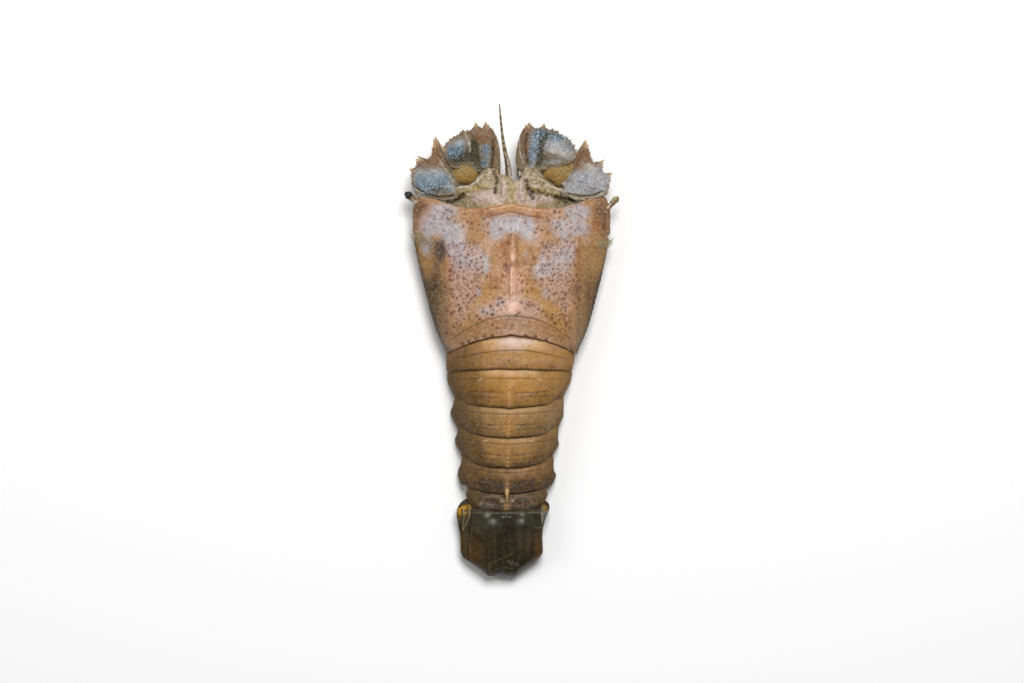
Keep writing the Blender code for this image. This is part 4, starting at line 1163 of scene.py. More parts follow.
PLATES["antenna_plate_right"] = {
    "side": 1, "hinge": (19.4, 61), "base": 12.2, "granule_glints": 0.7,
    "rim": [
        (-75, 4), (-49, 4.6), (-38, 8.2), (-24, 12.4), (-14, 16.6), (-8, 19), (-3, 19.2), (0, 19.7),
        (4, 19.6), (7.4, 20.2), (11, 20.2), (16, 21.4), (18, 18.6), (22, 18.3), (26, 18.8), (32.4, 20.6),
        (34, 18.3), (35.9, 17.6), (37, 16.6), (44.8, 17.2), (50, 18.4), (56, 20), (62.2, 21.8), (64, 17),
        (66, 12.4), (70, 6),
    ],
    "dome": [((30, 62.6), (7.5, 4), 0.9)],
    "groove": [([(23, 58.6), (28, 57.6), (33, 58), (36.4, 59.6)], 0.3)],
    "ridge": [
        ([(22.5, 64), (25.5, 70), (28.6, 77.5)], 0.9),
        ([(22.5, 57.2), (28, 56.4), (34, 57.2), (37.6, 58.8)], 0.6),
    ],
    "blue": [((29.6, 64.6), (3.2, 2.6), 0.25), ((26, 61.6), (4, 2), 0.25)],
    "lilac": [
        ((30, 63), (7.4, 4.6), 2), ((36.6, 64.5), (2.4, 5), 1.1), ((24.6, 60.4), (2.6, 1.6), 1.2),
        ((33.4, 69), (3, 2.4), 0.7),
    ],
    "brown": [
        ((28.4, 74), (2.6, 5), 2), ((34.8, 69.6), (2.6, 3), 0.7), ((38.6, 64), (1.4, 3.6), 0.6),
        ((26.4, 69), (1.6, 2.6), 1),
    ],
    "pale": [([(22.5, 57), (28, 56.3), (34, 57), (37.8, 59)], 0.8), ([(30.6, 70.4), (33, 67.6)], 1.4)],
    "olive": [((32, 60.4), (3, 1.2), 0.4)],
}


def saw(rim, angle):
    """Radius of a toothed rim: it climbs to each tip and leaves it ever more steeply."""
    places, radii = (np.array(column) for column in zip(*rim))
    here = np.clip(np.searchsorted(places, angle, side="right") - 1, 0, len(places) - 2)
    t = np.clip((angle - places[here]) / (places[here + 1] - places[here]), 0, 1)
    first, last = radii[here], radii[here + 1]
    t = np.where(last > first, t**1.5, 1 - (1 - t) ** 1.5)
    return first + (last - first) * t


def plate_point(form, radii, turned, share, lift):
    """Point at share of the way out from the hinge at so many degrees, lifted from the middle.

    The plate rises outwards, and only its outer quarter follows the teeth. radii is (degrees,
    rim with its teeth, rim evened out).
    """
    even, toothed = (np.interp(turned, radii[0], column) for column in (radii[2], radii[1]))
    reach = 1.6 + (even - 1.6) * share + (toothed - even) * ramp(share, 0.72, 1)
    x = form["hinge"][0] + reach * np.cos(np.radians(turned))
    y = form["hinge"][1] + reach * np.sin(np.radians(turned))
    return x, y, form["base"] + 0.4 * share + 1.2 * share**2 + lift


def plate_marks(form, seed, x, y, angle, share, tooth):
    """How far the relief stands out of a plate, and how strongly each colour lies on it.

    Pale granules and darker, smaller ones are strewn over it, shallow rays run out to the teeth,
    and the granules are pale blue where the bloom is. Their paleness is partly their own colour and
    partly a painted highlight, the light that their tops catch.
    """
    relief = 0.22 * uneven(x, y, 4.5, seed) + 0.16 * uneven(x, y, 1.5, seed + 1, 2)
    relief = relief + oval_patches(x, y, form["dome"])
    grooves, pale = 0, sum(bell(off_line(x, y, line), width) for line, width in form["pale"])
    for line, width in form["groove"]:
        away = off_line(x, y, line)
        relief = relief - 0.6 * bell(away, width * 0.9)
        grooves = grooves + bell(away, width)
    for line, width in form["ridge"]:
        relief = relief + 0.75 * bell(off_line(x, y, line), width * 0.8)
    span = (x.min(), x.max()), (y.min(), y.max())
    grains = sprinkle(seed + 2, *span, 0.85, 0.8)
    grain = dots(x, y, grains, np.random.default_rng(seed).uniform(0.14, 0.32, len(grains)))
    dark_grains = sprinkle(seed + 7, *span, 0.95, 0.6)
    root = ramp(share, 0.1, 0.3)
    specks = dots(x, y, dark_grains, [0.2] * len(dark_grains)) * root
    rays = np.abs(np.sin(np.radians(angle) * 15 + 0.8 * uneven(x, y, 6, seed + 5))) ** 0.6
    relief = relief + 0.28 * grain * root + 0.35 * (rays - 0.6) * ramp(share, 0.7, 0.95)

    wide, close = uneven(x, y, 3.5, seed + 3), uneven(x, y, 1.2, seed + 4)
    out = ramp(share, 0.84, 1)
    blue, lilac, brown = (oval_patches(x, y, form[stain]) for stain in ("blue", "lilac", "brown"))
    cool = np.clip(blue + 0.6 * lilac, 0, 1)
    olive = oval_patches(x, y, form["olive"]) + (0.95 + 0.7 * close) * grooves
    return relief, {
        "bloom": blue * (1 + 0.5 * wide) + 0.3 * close, "lilac": lilac * (1 + 0.5 * wide) + 0.25 * close,
        "brown": brown + 0.6 * out * (1 - cool) + 0.25 * close, "olive": olive + 0.2 * wide,
        "pale": pale * (0.8 + 0.6 * close), "tip": tooth * ramp(share, 0.86, 0.98),
        "grain": grain * (1 - cool) * (1 - 0.7 * np.clip(olive, 0, 1)) * (0.8 + 0.4 * wide),
        "granule_glints": form["granule_glints"] * grain * cool * (0.9 + 0.7 * wide),
        "speck": specks * (0.5 + 0.5 * cool + 0.5 * close), "rim": out * (0.5 + 0.5 * close),
    }


def build_antenna_plate(node, form, seed, columns=420, rows=96):
    """Polar grid about the hinge, out to the toothed rim; thickness tapers towards the teeth.

    The rim evened out is a running mean over a sixth of it; fine saw teeth are added at the end.
    """
    angle = np.linspace(form["rim"][0][0], form["rim"][-1][0], columns)[None, :] + np.zeros((rows, 1))
    share = np.linspace(0, 1, rows)[:, None] ** 0.85 + np.zeros((1, columns))
    toothed, window = saw(form["rim"], angle[0]), columns // 6 - 1
    even = np.pad(toothed, window // 2, mode="edge")
    even = np.convolve(even, np.ones(window) / window, mode="valid")
    fine = np.abs(np.sin(np.radians(angle[0]) * 52 + seed))
    toothed = toothed + 0.3 * fine * ramp(angle[0], -4, 10) * fade(angle[0], 100, 112)
    radii = (angle[0], toothed, even)
    x, y, z = plate_point(form, radii, angle, share, 0)
    relief, masks = plate_marks(form, seed, x, y, angle, share, ramp(toothed - even, 0.4, 1.8))
    side = form["side"]
    turn = 1 if side < 0 else -1
    grid = np.stack([side * x, y, z + 1 - 0.5 * share + relief], axis=-1)[:, ::turn]
    masks = {mask: values[:, ::turn] for mask, values in masks.items()}
    rim_angle, rim_share = rim_of(angle[:, ::turn]), rim_of(share[:, ::turn])

    def under(k):
        """The rim again, below, and then loops inwards along the underside."""
        middle = (angle[0, 0] + angle[0, -1]) / 2
        out = 0.45 + (rim_share - 0.45) * k
        px, py, pz = plate_point(form, radii, middle + (rim_angle - middle) * k, out, 0)
        return np.column_stack([side * px, py, pz - 1 + 0.5 * out])

    name = node.replace("antenna_", "toothed_")
    shrink = (1, 0.97, 0.85, 0.65, 0.4, 0.15)
    plate(name, grid, under, masks, PLATE_FINISH, [node], shrink, sharp=60)
    PLATE_RIMS.append((side * x[-1], y[-1], z[-1], np.radians(angle[-1])))


# The same raw chitin, thick and set with granules: half matt, with the dust-like blue bloom of
# live shell on its swellings, and amber where it thins out in the teeth.
PLATE_FINISH = chitin(
    "granular_plate_chitin", "#6d5e43",
    [
        ("brown", "#7a563b", 0.9, 0.3), ("lilac", "#a4a1a3", 0.85, 0.35), ("bloom", "#55697a", 0.9, 0.4),
        # The pale granules, blue in the bloom, are partly painted highlight.
        ("olive", "#302d1a", 0.9, 0.3), ("grain", "#b0996f", 0.55, 0), ("granule_glints", "#b2c6ce", 0.66, 0),
        ("speck", "#26282c", 0.7, 0), ("pale", "#b9ae9b", 0.8, 0.2), ("rim", "#6b5238", 0.5, 0),
        ("tip", "#b79a70", 0.75, 0), ("under", "#9a8f79", 1, 0),
    ],
    grain=[(1.1, "#3e3421", 0.5, 0.72, 0.35), (0.5, "#a79f8e", 0.55, 0.75, 0.3)],
    relief=[(0.4, 0.12), (1, 0.12)], roughness=(0.35, 0.6), coat=0.2, coat_roughness=0.25,
)
# The bristles grow on these rims: X, Y, Z and direction all along each.
PLATE_RIMS = []
for seed, (node, form) in enumerate(PLATES.items()):
    build_antenna_plate(node, form, 200 + 10 * seed)

# --------------------------------------
# Antenna joints. A swollen piece of granular ochre shell fills the place between each outer
# plate and its fan, and lets the fan swing.

# Of each: its side, its centre, and (degrees, mm) of its rim.
JOINTS = {
    "antenna_joint_left": (
        -1, (19, 67),
        [
            (0, 6.2), (40, 6.4), (90, 5.6), (140, 5.8), (180, 6.2), (230, 5.4), (270, 4.7), (320, 5.4),
            (360, 6.2),
        ],
    ),
    "antenna_joint_right": (
        1, (19.6, 67.4),
        [
            (0, 6.6), (30, 10.6), (50, 7.4), (80, 4.8), (120, 4.6), (170, 7.2), (190, 7.4), (230, 5.4),
            (262, 6.2), (300, 5.6), (330, 6.2), (360, 6.6),
        ],
    ),
}


def build_antenna_joint(node, side, centre, rim, columns=200, rows=70):
    """A low dome over an outline given as radii round its centre."""
    turn = np.linspace(0, 2 * np.pi, columns, endpoint=False)[None, :] + np.zeros((rows, 1))
    share = np.linspace(0, 1, rows)[1:, None] + np.zeros((1, columns))
    reach = through(rim, np.degrees(turn[0]))[None, :] * share
    x, y = centre[0] + reach * np.cos(turn[1:]), centre[1] + reach * np.sin(turn[1:])
    grains = sprinkle(306, (8, 32), (58, 80), 0.95, 0.75)
    granules = dots(x, y, grains, [0.3] * len(grains))
    z = (
        11 + 3.2 * np.sqrt(np.clip(1 - share**2.6, 0, 1)) + 0.25 * uneven(x, y, 4, 301)
        + 0.22 * granules + 0.1 * uneven(x, y, 1.2, 302)
    )
    crown = np.array([[centre[0], centre[1], 14.8]])
    low = np.stack([x[-1], y[-1], 10.9 + 0 * x[-1]], axis=-1)
    points = np.concatenate(
        [crown, np.stack([x, y, z], axis=-1).reshape(-1, 3), low, [[centre[0], centre[1], 10.7]]]
    )
    points[:, 0] *= side
    count = (rows - 1) * columns
    here = 1 + np.arange(count + columns).reshape(rows, columns)
    after = np.roll(here, -1, axis=1)
    walls = np.stack([here[:-1], here[1:], after[1:], after[:-1]], axis=-1).reshape(-1, 4)
    faces = [[0, int(a), int(b)] for a, b in zip(here[0], after[0])] + walls.tolist()
    faces += [[int(b), int(a), len(points) - 1] for a, b in zip(here[-1], after[-1])]
    if side < 0:
        faces = [face[::-1] for face in faces]
    edge = np.concatenate([[0], share.ravel(), np.ones(columns + 1)])
    px, py = np.abs(points[:, 0]), points[:, 1]
    flecks = sprinkle(305, (8, 32), (58, 80), 1.1, 0.6)
    # The rim layer is painted shade: darker round the edge of the dome, where it meets the plates, and
    # towards its front.
    masks = {
        "rim": ramp(edge, 0.72, 1) + 0.6 * blob(px, py, (centre[0] - 0.5, centre[1] + 4.6), (5, 2.2))
        + 0.3 * uneven(px, py, 2, 303),
        "warm": 0.4 + 0.7 * uneven(px, py, 5, 304) + 0.8 * ramp(px, 22, 27) * (side > 0),
        "grain": np.concatenate([[0], granules.ravel(), np.zeros(columns + 1)])
        * (0.7 + 0.6 * uneven(px, py, 2.2, 307)),
        "fleck": dots(px, py, flecks, [0.2] * len(flecks)),
    }
    name = node.replace("antenna_joint", "joint")
    shown(name, points, faces, masks, JOINT_FINISH, stands_for=[node])


# Raw chitin so set with granules that it hardly shines, like damp sandpaper.
JOINT_FINISH = chitin(
    "ochre_joint_chitin", "#89703a",
    [
        ("warm", "#8b6430", 0.6, 0.3), ("rim", "#39311b", 0.85, 0.3), ("grain", "#ab9557", 0.6, 0),
        ("fleck", "#4c3c1e", 0.6, 0),
    ],
    grain=[(1.6, "#a08a50", 0.5, 0.8, 0.35), (0.5, "#5f4b26", 0.55, 0.8, 0.4)],
    relief=[(0.6, 0.08), (1.8, 0.12)], roughness=(0.4, 0.6), coat=0.15, coat_roughness=0.3,
)
for node, (side, centre, rim) in JOINTS.items():
    build_antenna_joint(node, side, centre, rim)

# --------------------------------------
# Bristles. Short pale hairs stand along the toothed rims of the antenna plates and in tufts in
# the notches at the sides of the shield; wet, they lie over the edge.


def build_bristles(name, roots, ways, lengths, width, sag=0.25):
    """Curved three-sided hairs that end in a point; sag is how far each one's tip droops, as a
    share of its length."""
    ways = ways / np.linalg.norm(ways, axis=1)[:, None]
    aside = np.cross(ways, [0, 0, 1])
    aside /= np.linalg.norm(aside, axis=1)[:, None]
    upward = np.cross(aside, ways)
    turn = np.radians([90, 210, 330])
    round_it = np.cos(turn)[None, :, None] * aside[:, None] + np.sin(turn)[None, :, None] * upward[:, None]
    middle = roots + 0.5 * lengths[:, None] * ways
    tip = roots + lengths[:, None] * ways - np.outer(sag * lengths, [0, 0, 1])
    points = np.concatenate(
        [roots[:, None] + width * round_it, middle[:, None] + 0.7 * width * round_it, tip[:, None]],
        axis=1,
    )
    one = [(0, 1, 2), (0, 3, 4, 1), (1, 4, 5, 2), (2, 5, 3, 0), (3, 6, 4), (4, 6, 5), (5, 6, 3)]
    faces = [[7 * hair + corner for corner in face] for hair in range(len(roots)) for face in one]
    along = np.tile([0, 0, 0, 0.5, 0.5, 0.5, 1], len(roots))
    shown(name, points.reshape(-1, 3), faces, {"tip": along}, BRISTLE_FINISH)


# Hairs of thin clear chitin: straw-coloured, whiter at the tips, matt from afar.
BRISTLE_FINISH = chitin(
    "pale_bristle", "#8f7d58", [("tip", "#ddd3b8", 0.9, 0)], grain=[(1, "#6b5a3a", 0.5, 0.8, 0.4)],
    relief=[(0.5, 0.02)], roughness=(0.4, 0.6), coat=0.1,
)
rng = np.random.default_rng(500)
fringe = []
for x, y, z, angle in PLATE_RIMS:
    at = rng.integers(30, len(x) - 30, 170)
    level = z[at] - 0.1 + rng.uniform(-0.2, 0.2, len(at))
    fringe.append(np.column_stack([x[at], y[at], level, np.cos(angle[at]), np.sin(angle[at])]))
fringe = np.concatenate(fringe)
ways = np.column_stack(
    [np.sign(fringe[:, 0]) * np.abs(fringe[:, 3]), fringe[:, 4], rng.uniform(-0.2, 0.3, len(fringe))]
)
ways[:, :2] += rng.normal(0, 0.35, (len(fringe), 2))
build_bristles("plate_fringe", fringe[:, :3], ways, rng.uniform(0.5, 1.2, len(fringe)), 0.06)

# Of each tuft: the two ends of the line its roots lie on, the way it points, and its hairs.
TUFTS = [
    ((-39.6, 41.6), (-31.6, 38.4), (-0.6, 0.5), 220), ((39.6, 39.2), (34.2, 37), (0.4, 0.8), 200),
    ((-38.6, 53.6), (-36.6, 55.4), (0.3, 1), 30), ((37.6, 53.4), (38.8, 51.6), (0.5, 0.8), 30),
]
roots, ways = [], []
for (x0, y0), (x1, y1), way, count in TUFTS:
    share = rng.uniform(0, 1, count)
    x = x0 + (x1 - x0) * share + rng.normal(0, 0.5, count)
    y = y0 + (y1 - y0) * share + rng.normal(0, 0.9, count)
    across = np.clip(x / through(SHIELD_FLANK, y), -0.985, 0.985)
    roots.append(np.column_stack([x, y, shield_height(x, y, across) - 0.1]))
    way_x, way_y = way[0] + rng.normal(0, 0.7, count), way[1] + rng.normal(0, 0.7, count)
    ways.append(np.column_stack([way_x, way_y, rng.uniform(0, 0.35, count)]))
roots, ways = np.concatenate(roots), np.concatenate(ways)
build_bristles("notch_tufts", roots, ways, rng.uniform(1, 3.4, len(roots)), 0.07)

# --------------------------------------
# Face. Between the shield's front edge and the antennae: soft pinkish lobes, the rims that the
# antennae hinge on, olive folds between them and the roots of the antennules in the middle.

# In plan: the front margin, lines of the rims and folds, the hinges' middles, the lobes as
# (centre, size, height) and the middle lines of two small cones.
FACE_FRONT = [
    (-26, 59.5), (-22, 61.5), (-18, 63), (-14.5, 64.8), (-12, 67.4), (-9, 68.6), (-6, 68.2), (-4.2, 66.5),
    (-2, 66.4), (-0.6, 65.4), (1.6, 63.9), (3.4, 64.6), (5, 68), (7, 68.8), (10, 68.4), (12.5, 66),
    (16, 63.4), (20, 61.4), (24, 60), (26, 59),
]
SOCKET_RIMS = [
    [(-23.3, 61.4), (-20, 61), (-16.6, 61.9), (-13.7, 63.7), (-12, 65.6)],
    [(11.8, 64.6), (15, 62), (18.6, 60.4), (23, 59.6)],
]
YELLOW_FOLDS = [
    [(-21.5, 58.2), (-18.5, 59.4), (-16, 60.4), (-13, 61.2), (-9.5, 61.4)],
    [(6.5, 61), (10.5, 60), (14.5, 59), (19, 58.2)],
]
# Lines whose darkness is painted shadow: the gaps between the antenna plates and the shield, and the
# creases of the face.
SHADOWED_FOLDS = [
    [(-25, 57), (-21.5, 57), (-19.6, 58.2)], [(20.5, 58.4), (23, 57.4), (26, 56.2)],
    [(-7, 67.5), (-5.6, 63.5), (-6.6, 59)], [(6.2, 63.5), (7, 60), (8.6, 56.8)],
    [(9, 59.2), (14, 58.2), (19.5, 57)],
]
HINGES = [(-9.6, 64.4), (8.6, 64.6)]
FACE_LOBES = [
    ((-12.6, 57.4), (4.6, 2.4), 1), ((14, 56.9), (4.2, 2), 1), ((-7.2, 57.4), (1.8, 2.4), 0.9),
    ((8.6, 56.2), (1.8, 2), 0.9), ((-17.8, 60.6), (1.8, 1.2), 0.5), ((20.5, 59.6), (2.4, 1.2), 0.7),
    ((-10.6, 61.6), (2.2, 1), 0.5), ((12, 61.2), (3, 1), 0.6), ((3, 57.5), (1.8, 1.8), 0.5),
]
SMALL_CONES = [[(-3.2, 56), (-3, 62.6)], [(4.3, 56.2), (3.5, 63.4)]]


def build_face(columns=300, rows=90):
    """Height over plan, from just under the shield's front edge to a ragged front margin."""
    x = np.linspace(-26, 26, columns)[None, :] + np.zeros((rows, 1))
    run = np.linspace(0, 1, rows)[:, None] + np.zeros((1, columns))
    start = shield_front(x) - 1.6
    y = start + (through(FACE_FRONT, x) + 0.35 * uneven(x, 0 * x, 1.6, 400) - start) * run
    side = np.abs(x)
    z = 10.9 + 5.4 * fade(side, 7, 20) * (1 - 0.3 * run) - 0.9 * ramp(run, 0.85, 1)
    z = z + 1.4 * fade(run, 0, 0.5) * fade(side, 12, 26)
    lobes = oval_patches(x, y, FACE_LOBES)
    cones = sum(bell(off_line(x, y, line), 1.15) for line in SMALL_CONES)
    rims = sum(bell(off_line(x, y, line) + 0.3 * uneven(x, y, 2, 405), 0.6) for line in SOCKET_RIMS)
    yellow = sum(bell(off_line(x, y, line), 1) for line in YELLOW_FOLDS)
    # Painted shadow in the folds.
    dark = (
        sum(bell(off_line(x, y, line) + 0.5 * uneven(x, y, 2.4, 406), 0.7) for line in SHADOWED_FOLDS)
        * (0.75 + 0.5 * uneven(x, y, 1.4, 407))
    )
    hinge, stripes = 0, 0
    for cx, cy in HINGES:
        far = np.hypot((x - cx) / 1.3, y - cy) + 1.1 * uneven(x, y, 3, 403)
        near = fade(far, 3, 4.8)
        striped = (0.5 + 0.5 * np.cos(2 * np.pi * far / 1.5)) * (0.55 + 1.1 * uneven(x, y, 1.8, 404))
        stripes = stripes + near * striped
        hinge = hinge + 0.35 * near
    root = bell(x - 0.2, 2.6) * ramp(y, 57, 59)
    joints = root * bell(np.sin(np.pi * (y - 57.4 + 0.3 * side) / 2.6), 0.3)
    fine = uneven(x, y, 1.1, 401)
    wrinkle = 1 - np.abs(uneven(x * 0.8, y, 2.2, 402)) / 0.6
    z = (
        z + lobes + 1.3 * cones + 0.6 * rims + 0.4 * yellow - 1.1 * dark + hinge + 0.45 * stripes
        + 0.5 * root
    )
    z = z - 0.35 * joints + 0.35 * wrinkle + 0.16 * fine
    far_side = ramp(side, 15, 20)
    masks = {
        "pink": 1.1 * lobes + 0.85 * cones + 0.35 * fine + 0.3 * fade(side, 8, 14),
        # The dark layer is painted shadow: in the folds, under the antenna plates at the sides, and deep in
        # the wrinkles.
        "dark": dark + 0.45 * far_side * fade(y, 59, 61) + 0.35 * (wrinkle < -0.1),
        "yellow": yellow * (0.6 + 0.5 * wrinkle) + 0.7 * bell(x - 0.4, 0.45) * fade(y, 60, 63)
        + 0.4 * root * (1 - joints),
        "pale": 0.8 * rims + 0.6 * stripes + 0.4 * cones * ramp(y, 59, 63) + 0.25 * fine,
        "olive": 0.8 * blob(side, y, (20, 56.4), (4.5, 2)) + 1.4 * (hinge - 0.5 * stripes)
        + 0.45 * blob(side, y, (6.4, 60.5), (1.4, 3.6)) + 0.3 * fine,
    }
    top = np.stack([x, y, z], axis=-1)
    rim = rim_of(top)

    def under(k):
        """Straight down the rim, then level and inwards."""
        plan = np.array([0, 60]) + (rim[:, :2] - np.array([0, 60])) * (k if k < 1 else 0.998)
        return np.column_stack([plan, np.where(k >= 1, rim[:, 2] - 1.2, 8.2 + 0 * rim[:, 2])])

    plate(
        "face_lobes", top, under, masks, FACE_FINISH, ["face"],
        (1, 0.97, 0.75, 0.45, 0.15), sharp=70,
    )


# Soft bare skin between the hard shells, the wettest part: a thick film of water gleams on it.
FACE_FINISH = chitin(
    "soft_face_skin", "#96825f",
    [("olive", "#6b6038", 0.8, 0.3), ("pink", "#c4aca4", 0.9, 0.35), ("yellow", "#a58f45", 0.85, 0.25),
     ("pale", "#d3c7b2", 0.85, 0.3), ("dark", "#2f2616", 0.9, 0.3), ("under", "#a08f70", 1, 0)],
    grain=[(1.2, "#6e5c3c", 0.5, 0.75, 0.4), (0.5, "#b5a284", 0.55, 0.8, 0.4)],
    relief=[(0.4, 0.12), (1.2, 0.15)], roughness=(0.25, 0.5), coat=0.6, coat_roughness=0.18,
)
build_face()

# --------------------------------------
# Antennules: a thick jointed root and a thin whip of short rings, dark and pale by turns. The
# left one stands out ahead between the fans, the right one lies along its fan.

# Points along the middle line of each, and its radii there.
ANTENNULES = {
    "antennule_left": (
        [
            (-1, 65.4, 13.6), (-1.2, 68, 14), (-1.6, 71, 14.6), (-2.4, 74.5, 15.4), (-3.3, 79.3, 16),
            (-3.9, 84, 16.4), (-4.4, 89, 17), (-4.8, 94.4, 17.6),
        ],
        [1.35, 1.3, 1.15, 0.85, 0.6, 0.48, 0.4, 0.18],
    ),
    "antennule_right": (
        [(3.2, 65.8, 12), (3.1, 68, 11.8), (2.7, 70.2, 11.8), (2.1, 72, 12)], [0.95, 0.9, 0.65, 0.25],
    ),
}


def limb(name, node, path, radii, dress, finish, steps=200, around=24):
    """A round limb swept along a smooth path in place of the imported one; both ends close on a
    single point.

    dress(run, angle, length) gives, for millimetres run along it and the angle round it, how far
    the surface stands out, and the masks.
    """
    path = np.array(path, dtype=float)
    place = np.concatenate([[0], np.cumsum(np.linalg.norm(np.diff(path, axis=0), axis=1))])
    run = np.linspace(0, place[-1], steps)
    centre = np.stack([through(list(zip(place, path[:, k])), run) for k in range(3)], axis=-1)
    radius = through(list(zip(place, radii)), run)
    radius = np.where((run <= 0) | (run >= place[-1]), 0, radius)
    ahead = np.gradient(centre, axis=0)
    ahead /= np.linalg.norm(ahead, axis=1)[:, None]
    up = np.array([0, 0, 1]) - ahead * ahead[:, 2:3] + 1e-6 * np.array([0, 1, 0])
    for step in range(1, steps):
        up[step] = up[step - 1] - ahead[step] * (up[step - 1] @ ahead[step])
        up[step] /= np.linalg.norm(up[step])
    up[0] /= np.linalg.norm(up[0])
    across = np.cross(ahead, up)
    angle = np.linspace(0, 2 * np.pi, around, endpoint=False)
    out, masks = dress(run[:, None] + 0 * angle, angle + 0 * run[:, None], place[-1])
    reach = (radius[:, None] + out * (radius[:, None] > 0))[..., None]
    cosine, sine = np.cos(angle)[None, :, None], np.sin(angle)[None, :, None]
    grid = centre[:, None] + reach * (cosine * up[:, None] + sine * across[:, None])
    points = np.concatenate([grid[:1, 0], grid[1:-1].reshape(-1, 3), grid[-1:, 0]])
    here = 1 + np.arange((steps - 2) * around).reshape(steps - 2, around)
    after = np.roll(here, -1, axis=1)
    walls = np.stack([here[:-1], after[:-1], after[1:], here[1:]], axis=-1).reshape(-1, 4).tolist()
    ends = [[0, int(b), int(a)] for a, b in zip(here[0], after[0])]
    ends += [[int(a), int(b), len(points) - 1] for a, b in zip(here[-1], after[-1])]
    masks = {mask: np.concatenate([v[:1, 0], v[1:-1].ravel(), v[-1:, 0]]) for mask, v in masks.items()}
    shown(name, points, ends + walls, masks, finish, stands_for=[node])


def whip(run, angle, length):
    """Short rings along the thin part, long smooth joints at the root."""
    ring = np.abs(np.sin(np.pi * run / 0.95))
    root = fade(run, 8, 10)
    bands = 0.5 + 0.5 * np.sign(np.sin(2 * np.pi * run / 2.6 + 0.8 * np.sin(run * 0.9)))
    joints = bell(run - 4.2, 0.25) + bell(run - 7.6, 0.25)
    # Painted shade down one side of the root, which is pale only on the other side.
    shade = ramp(-np.sin(angle), -0.2, 0.6) * root
    masks = {"band": bands * (1 - root) + joints, "shade": shade, "pale": root * (1 - shade)}
    return 0.05 * ring * (1 - root) - 0.25 * joints, masks


# Thin smooth chitin under a film of water: it gleams along its whole length.
WHIP_FINISH = chitin(
    "banded_antennule", "#8f7d5a",
    [("pale", "#a59a90", 0.8, 0.2), ("band", "#4a3b24", 0.85, 0), ("shade", "#2b2c1d", 0.85, 0.1)],
    grain=[(0.8, "#5d4c30", 0.5, 0.8, 0.4)], relief=[(0.3, 0.05)], roughness=(0.3, 0.45), coat=0.5,
    coat_roughness=0.2,
)
for node, (path, radii) in ANTENNULES.items():
    limb(node + "_whip", node, path, radii, whip, WHIP_FINISH)

# --------------------------------------
# Tail spine: a short horn-coloured thorn that the fifth ring carries over the sixth.

SPINE_PATH = [(-1.7, -59.4, 18.3), (-1.8, -61, 18.5), (-1.75, -62.6, 18.1), (-1.65, -64.6, 17.5)]
SPINE_RADII = [1.5, 1.15, 0.7, 0.08]


def thorn(run, angle, length):
    """Flattened, with a sharp pale edge along its back."""
    edge = np.cos(angle) ** 6 + ramp(run, length - 1.6, length)
    return 0.25 * np.cos(angle) ** 4 - 0.1, {"edge": edge, "root": fade(run, 0.8, 2.6)}


# Solid horn, brown and half matt, paler where it thins to an edge.
SPINE_FINISH = chitin(
    "horn_of_spine", "#8a6430", [("root", "#7a5a35", 0.9, 0), ("edge", "#d3b47e", 0.8, 0)],
    grain=[(0.7, "#5c431f", 0.5, 0.8, 0.4)], relief=[(0.4, 0.05)], roughness=(0.3, 0.45), coat=0.15,
)
limb("spine_of_tail", "tail_spine", SPINE_PATH, SPINE_RADII, thorn, SPINE_FINISH, steps=40)

# --------------------------------------
# Eyes. Out of each front corner of the shield comes a short jointed stalk. The left one ends in
# a dark glossy ball; the right one is a dull olive club, its lens turned away.

# Points along the middle line of each, and its radii there.
EYES = {
    "eye_left": (
        [
            (-37.8, 55, 12.4), (-39.4, 56.5, 12.5), (-40.5, 57.4, 12.6), (-41.4, 58.1, 12.7),
            (-42.8, 59, 12.8),
        ],
        [1.25, 1.2, 1.4, 1.65, 0.5],
    ),
    "eye_right": (
        [(38.4, 52.4, 12.4), (39.9, 54.2, 12.5), (41, 55.5, 12.6), (42, 56.5, 12.7), (42.9, 57.4, 12.8)],
        [1.1, 1, 1.2, 1.35, 0.5],
    ),
}
# The clear, hard skin of an eye over black: the left one mirrors the lights like wet glass.
EYE_FINISH = chitin(
    "glossy_eye", "#8d7052",
    [
        ("joint", "#3b2c1c", 0.85, 0), ("stripe", "#c9b9a2", 0.8, 0.1),
        ("collar", "#2c2117", 0.85, 0), ("lens", "#14171b", 0.97, 0), ("club", "#7c6c48", 0.95, 0.2),
        ("gleam", "#a9a184", 0.8, 0.2),
    ],
    grain=[(0.8, "#b08f6c", 0.5, 0.8, 0.3)], relief=[(0.4, 0.04)], roughness=(0.2, 0.35), coat=0.3,
    coat_roughness=0.15,
)
for node, (path, radii) in EYES.items():

    def stalk(run, angle, length):
        """A jointed stalk, a collar a little behind the ball, and the ball or club."""
        ball = ramp(run, length - 3.4, length - 2.9)
        collar, joint = bell(run - (length - 3.6), 0.3), bell(run - 1.6, 0.35)
        stripe = bell(np.sin(angle * 1.5 + 0.6), 0.5) * (1 - ball)
        masks = {"collar": collar, "joint": joint, "stripe": stripe}
        if node == "eye_left":
            masks["lens"] = ball
        else:
            # The club's gleam is a painted highlight down one side of it.
            masks |= {"club": ball, "gleam": ball * bell(np.sin(angle / 2 + 0.4), 0.35)}
        return 0.12 * collar - 0.1 * joint, masks

    limb(node.replace("eye", "eye_on_stalk"), node, path, radii, stalk, EYE_FINISH, 60, 32)

# --------------------------------------
# Walking legs, folded flat under the shield, and the two jaw legs that close over the mouth.

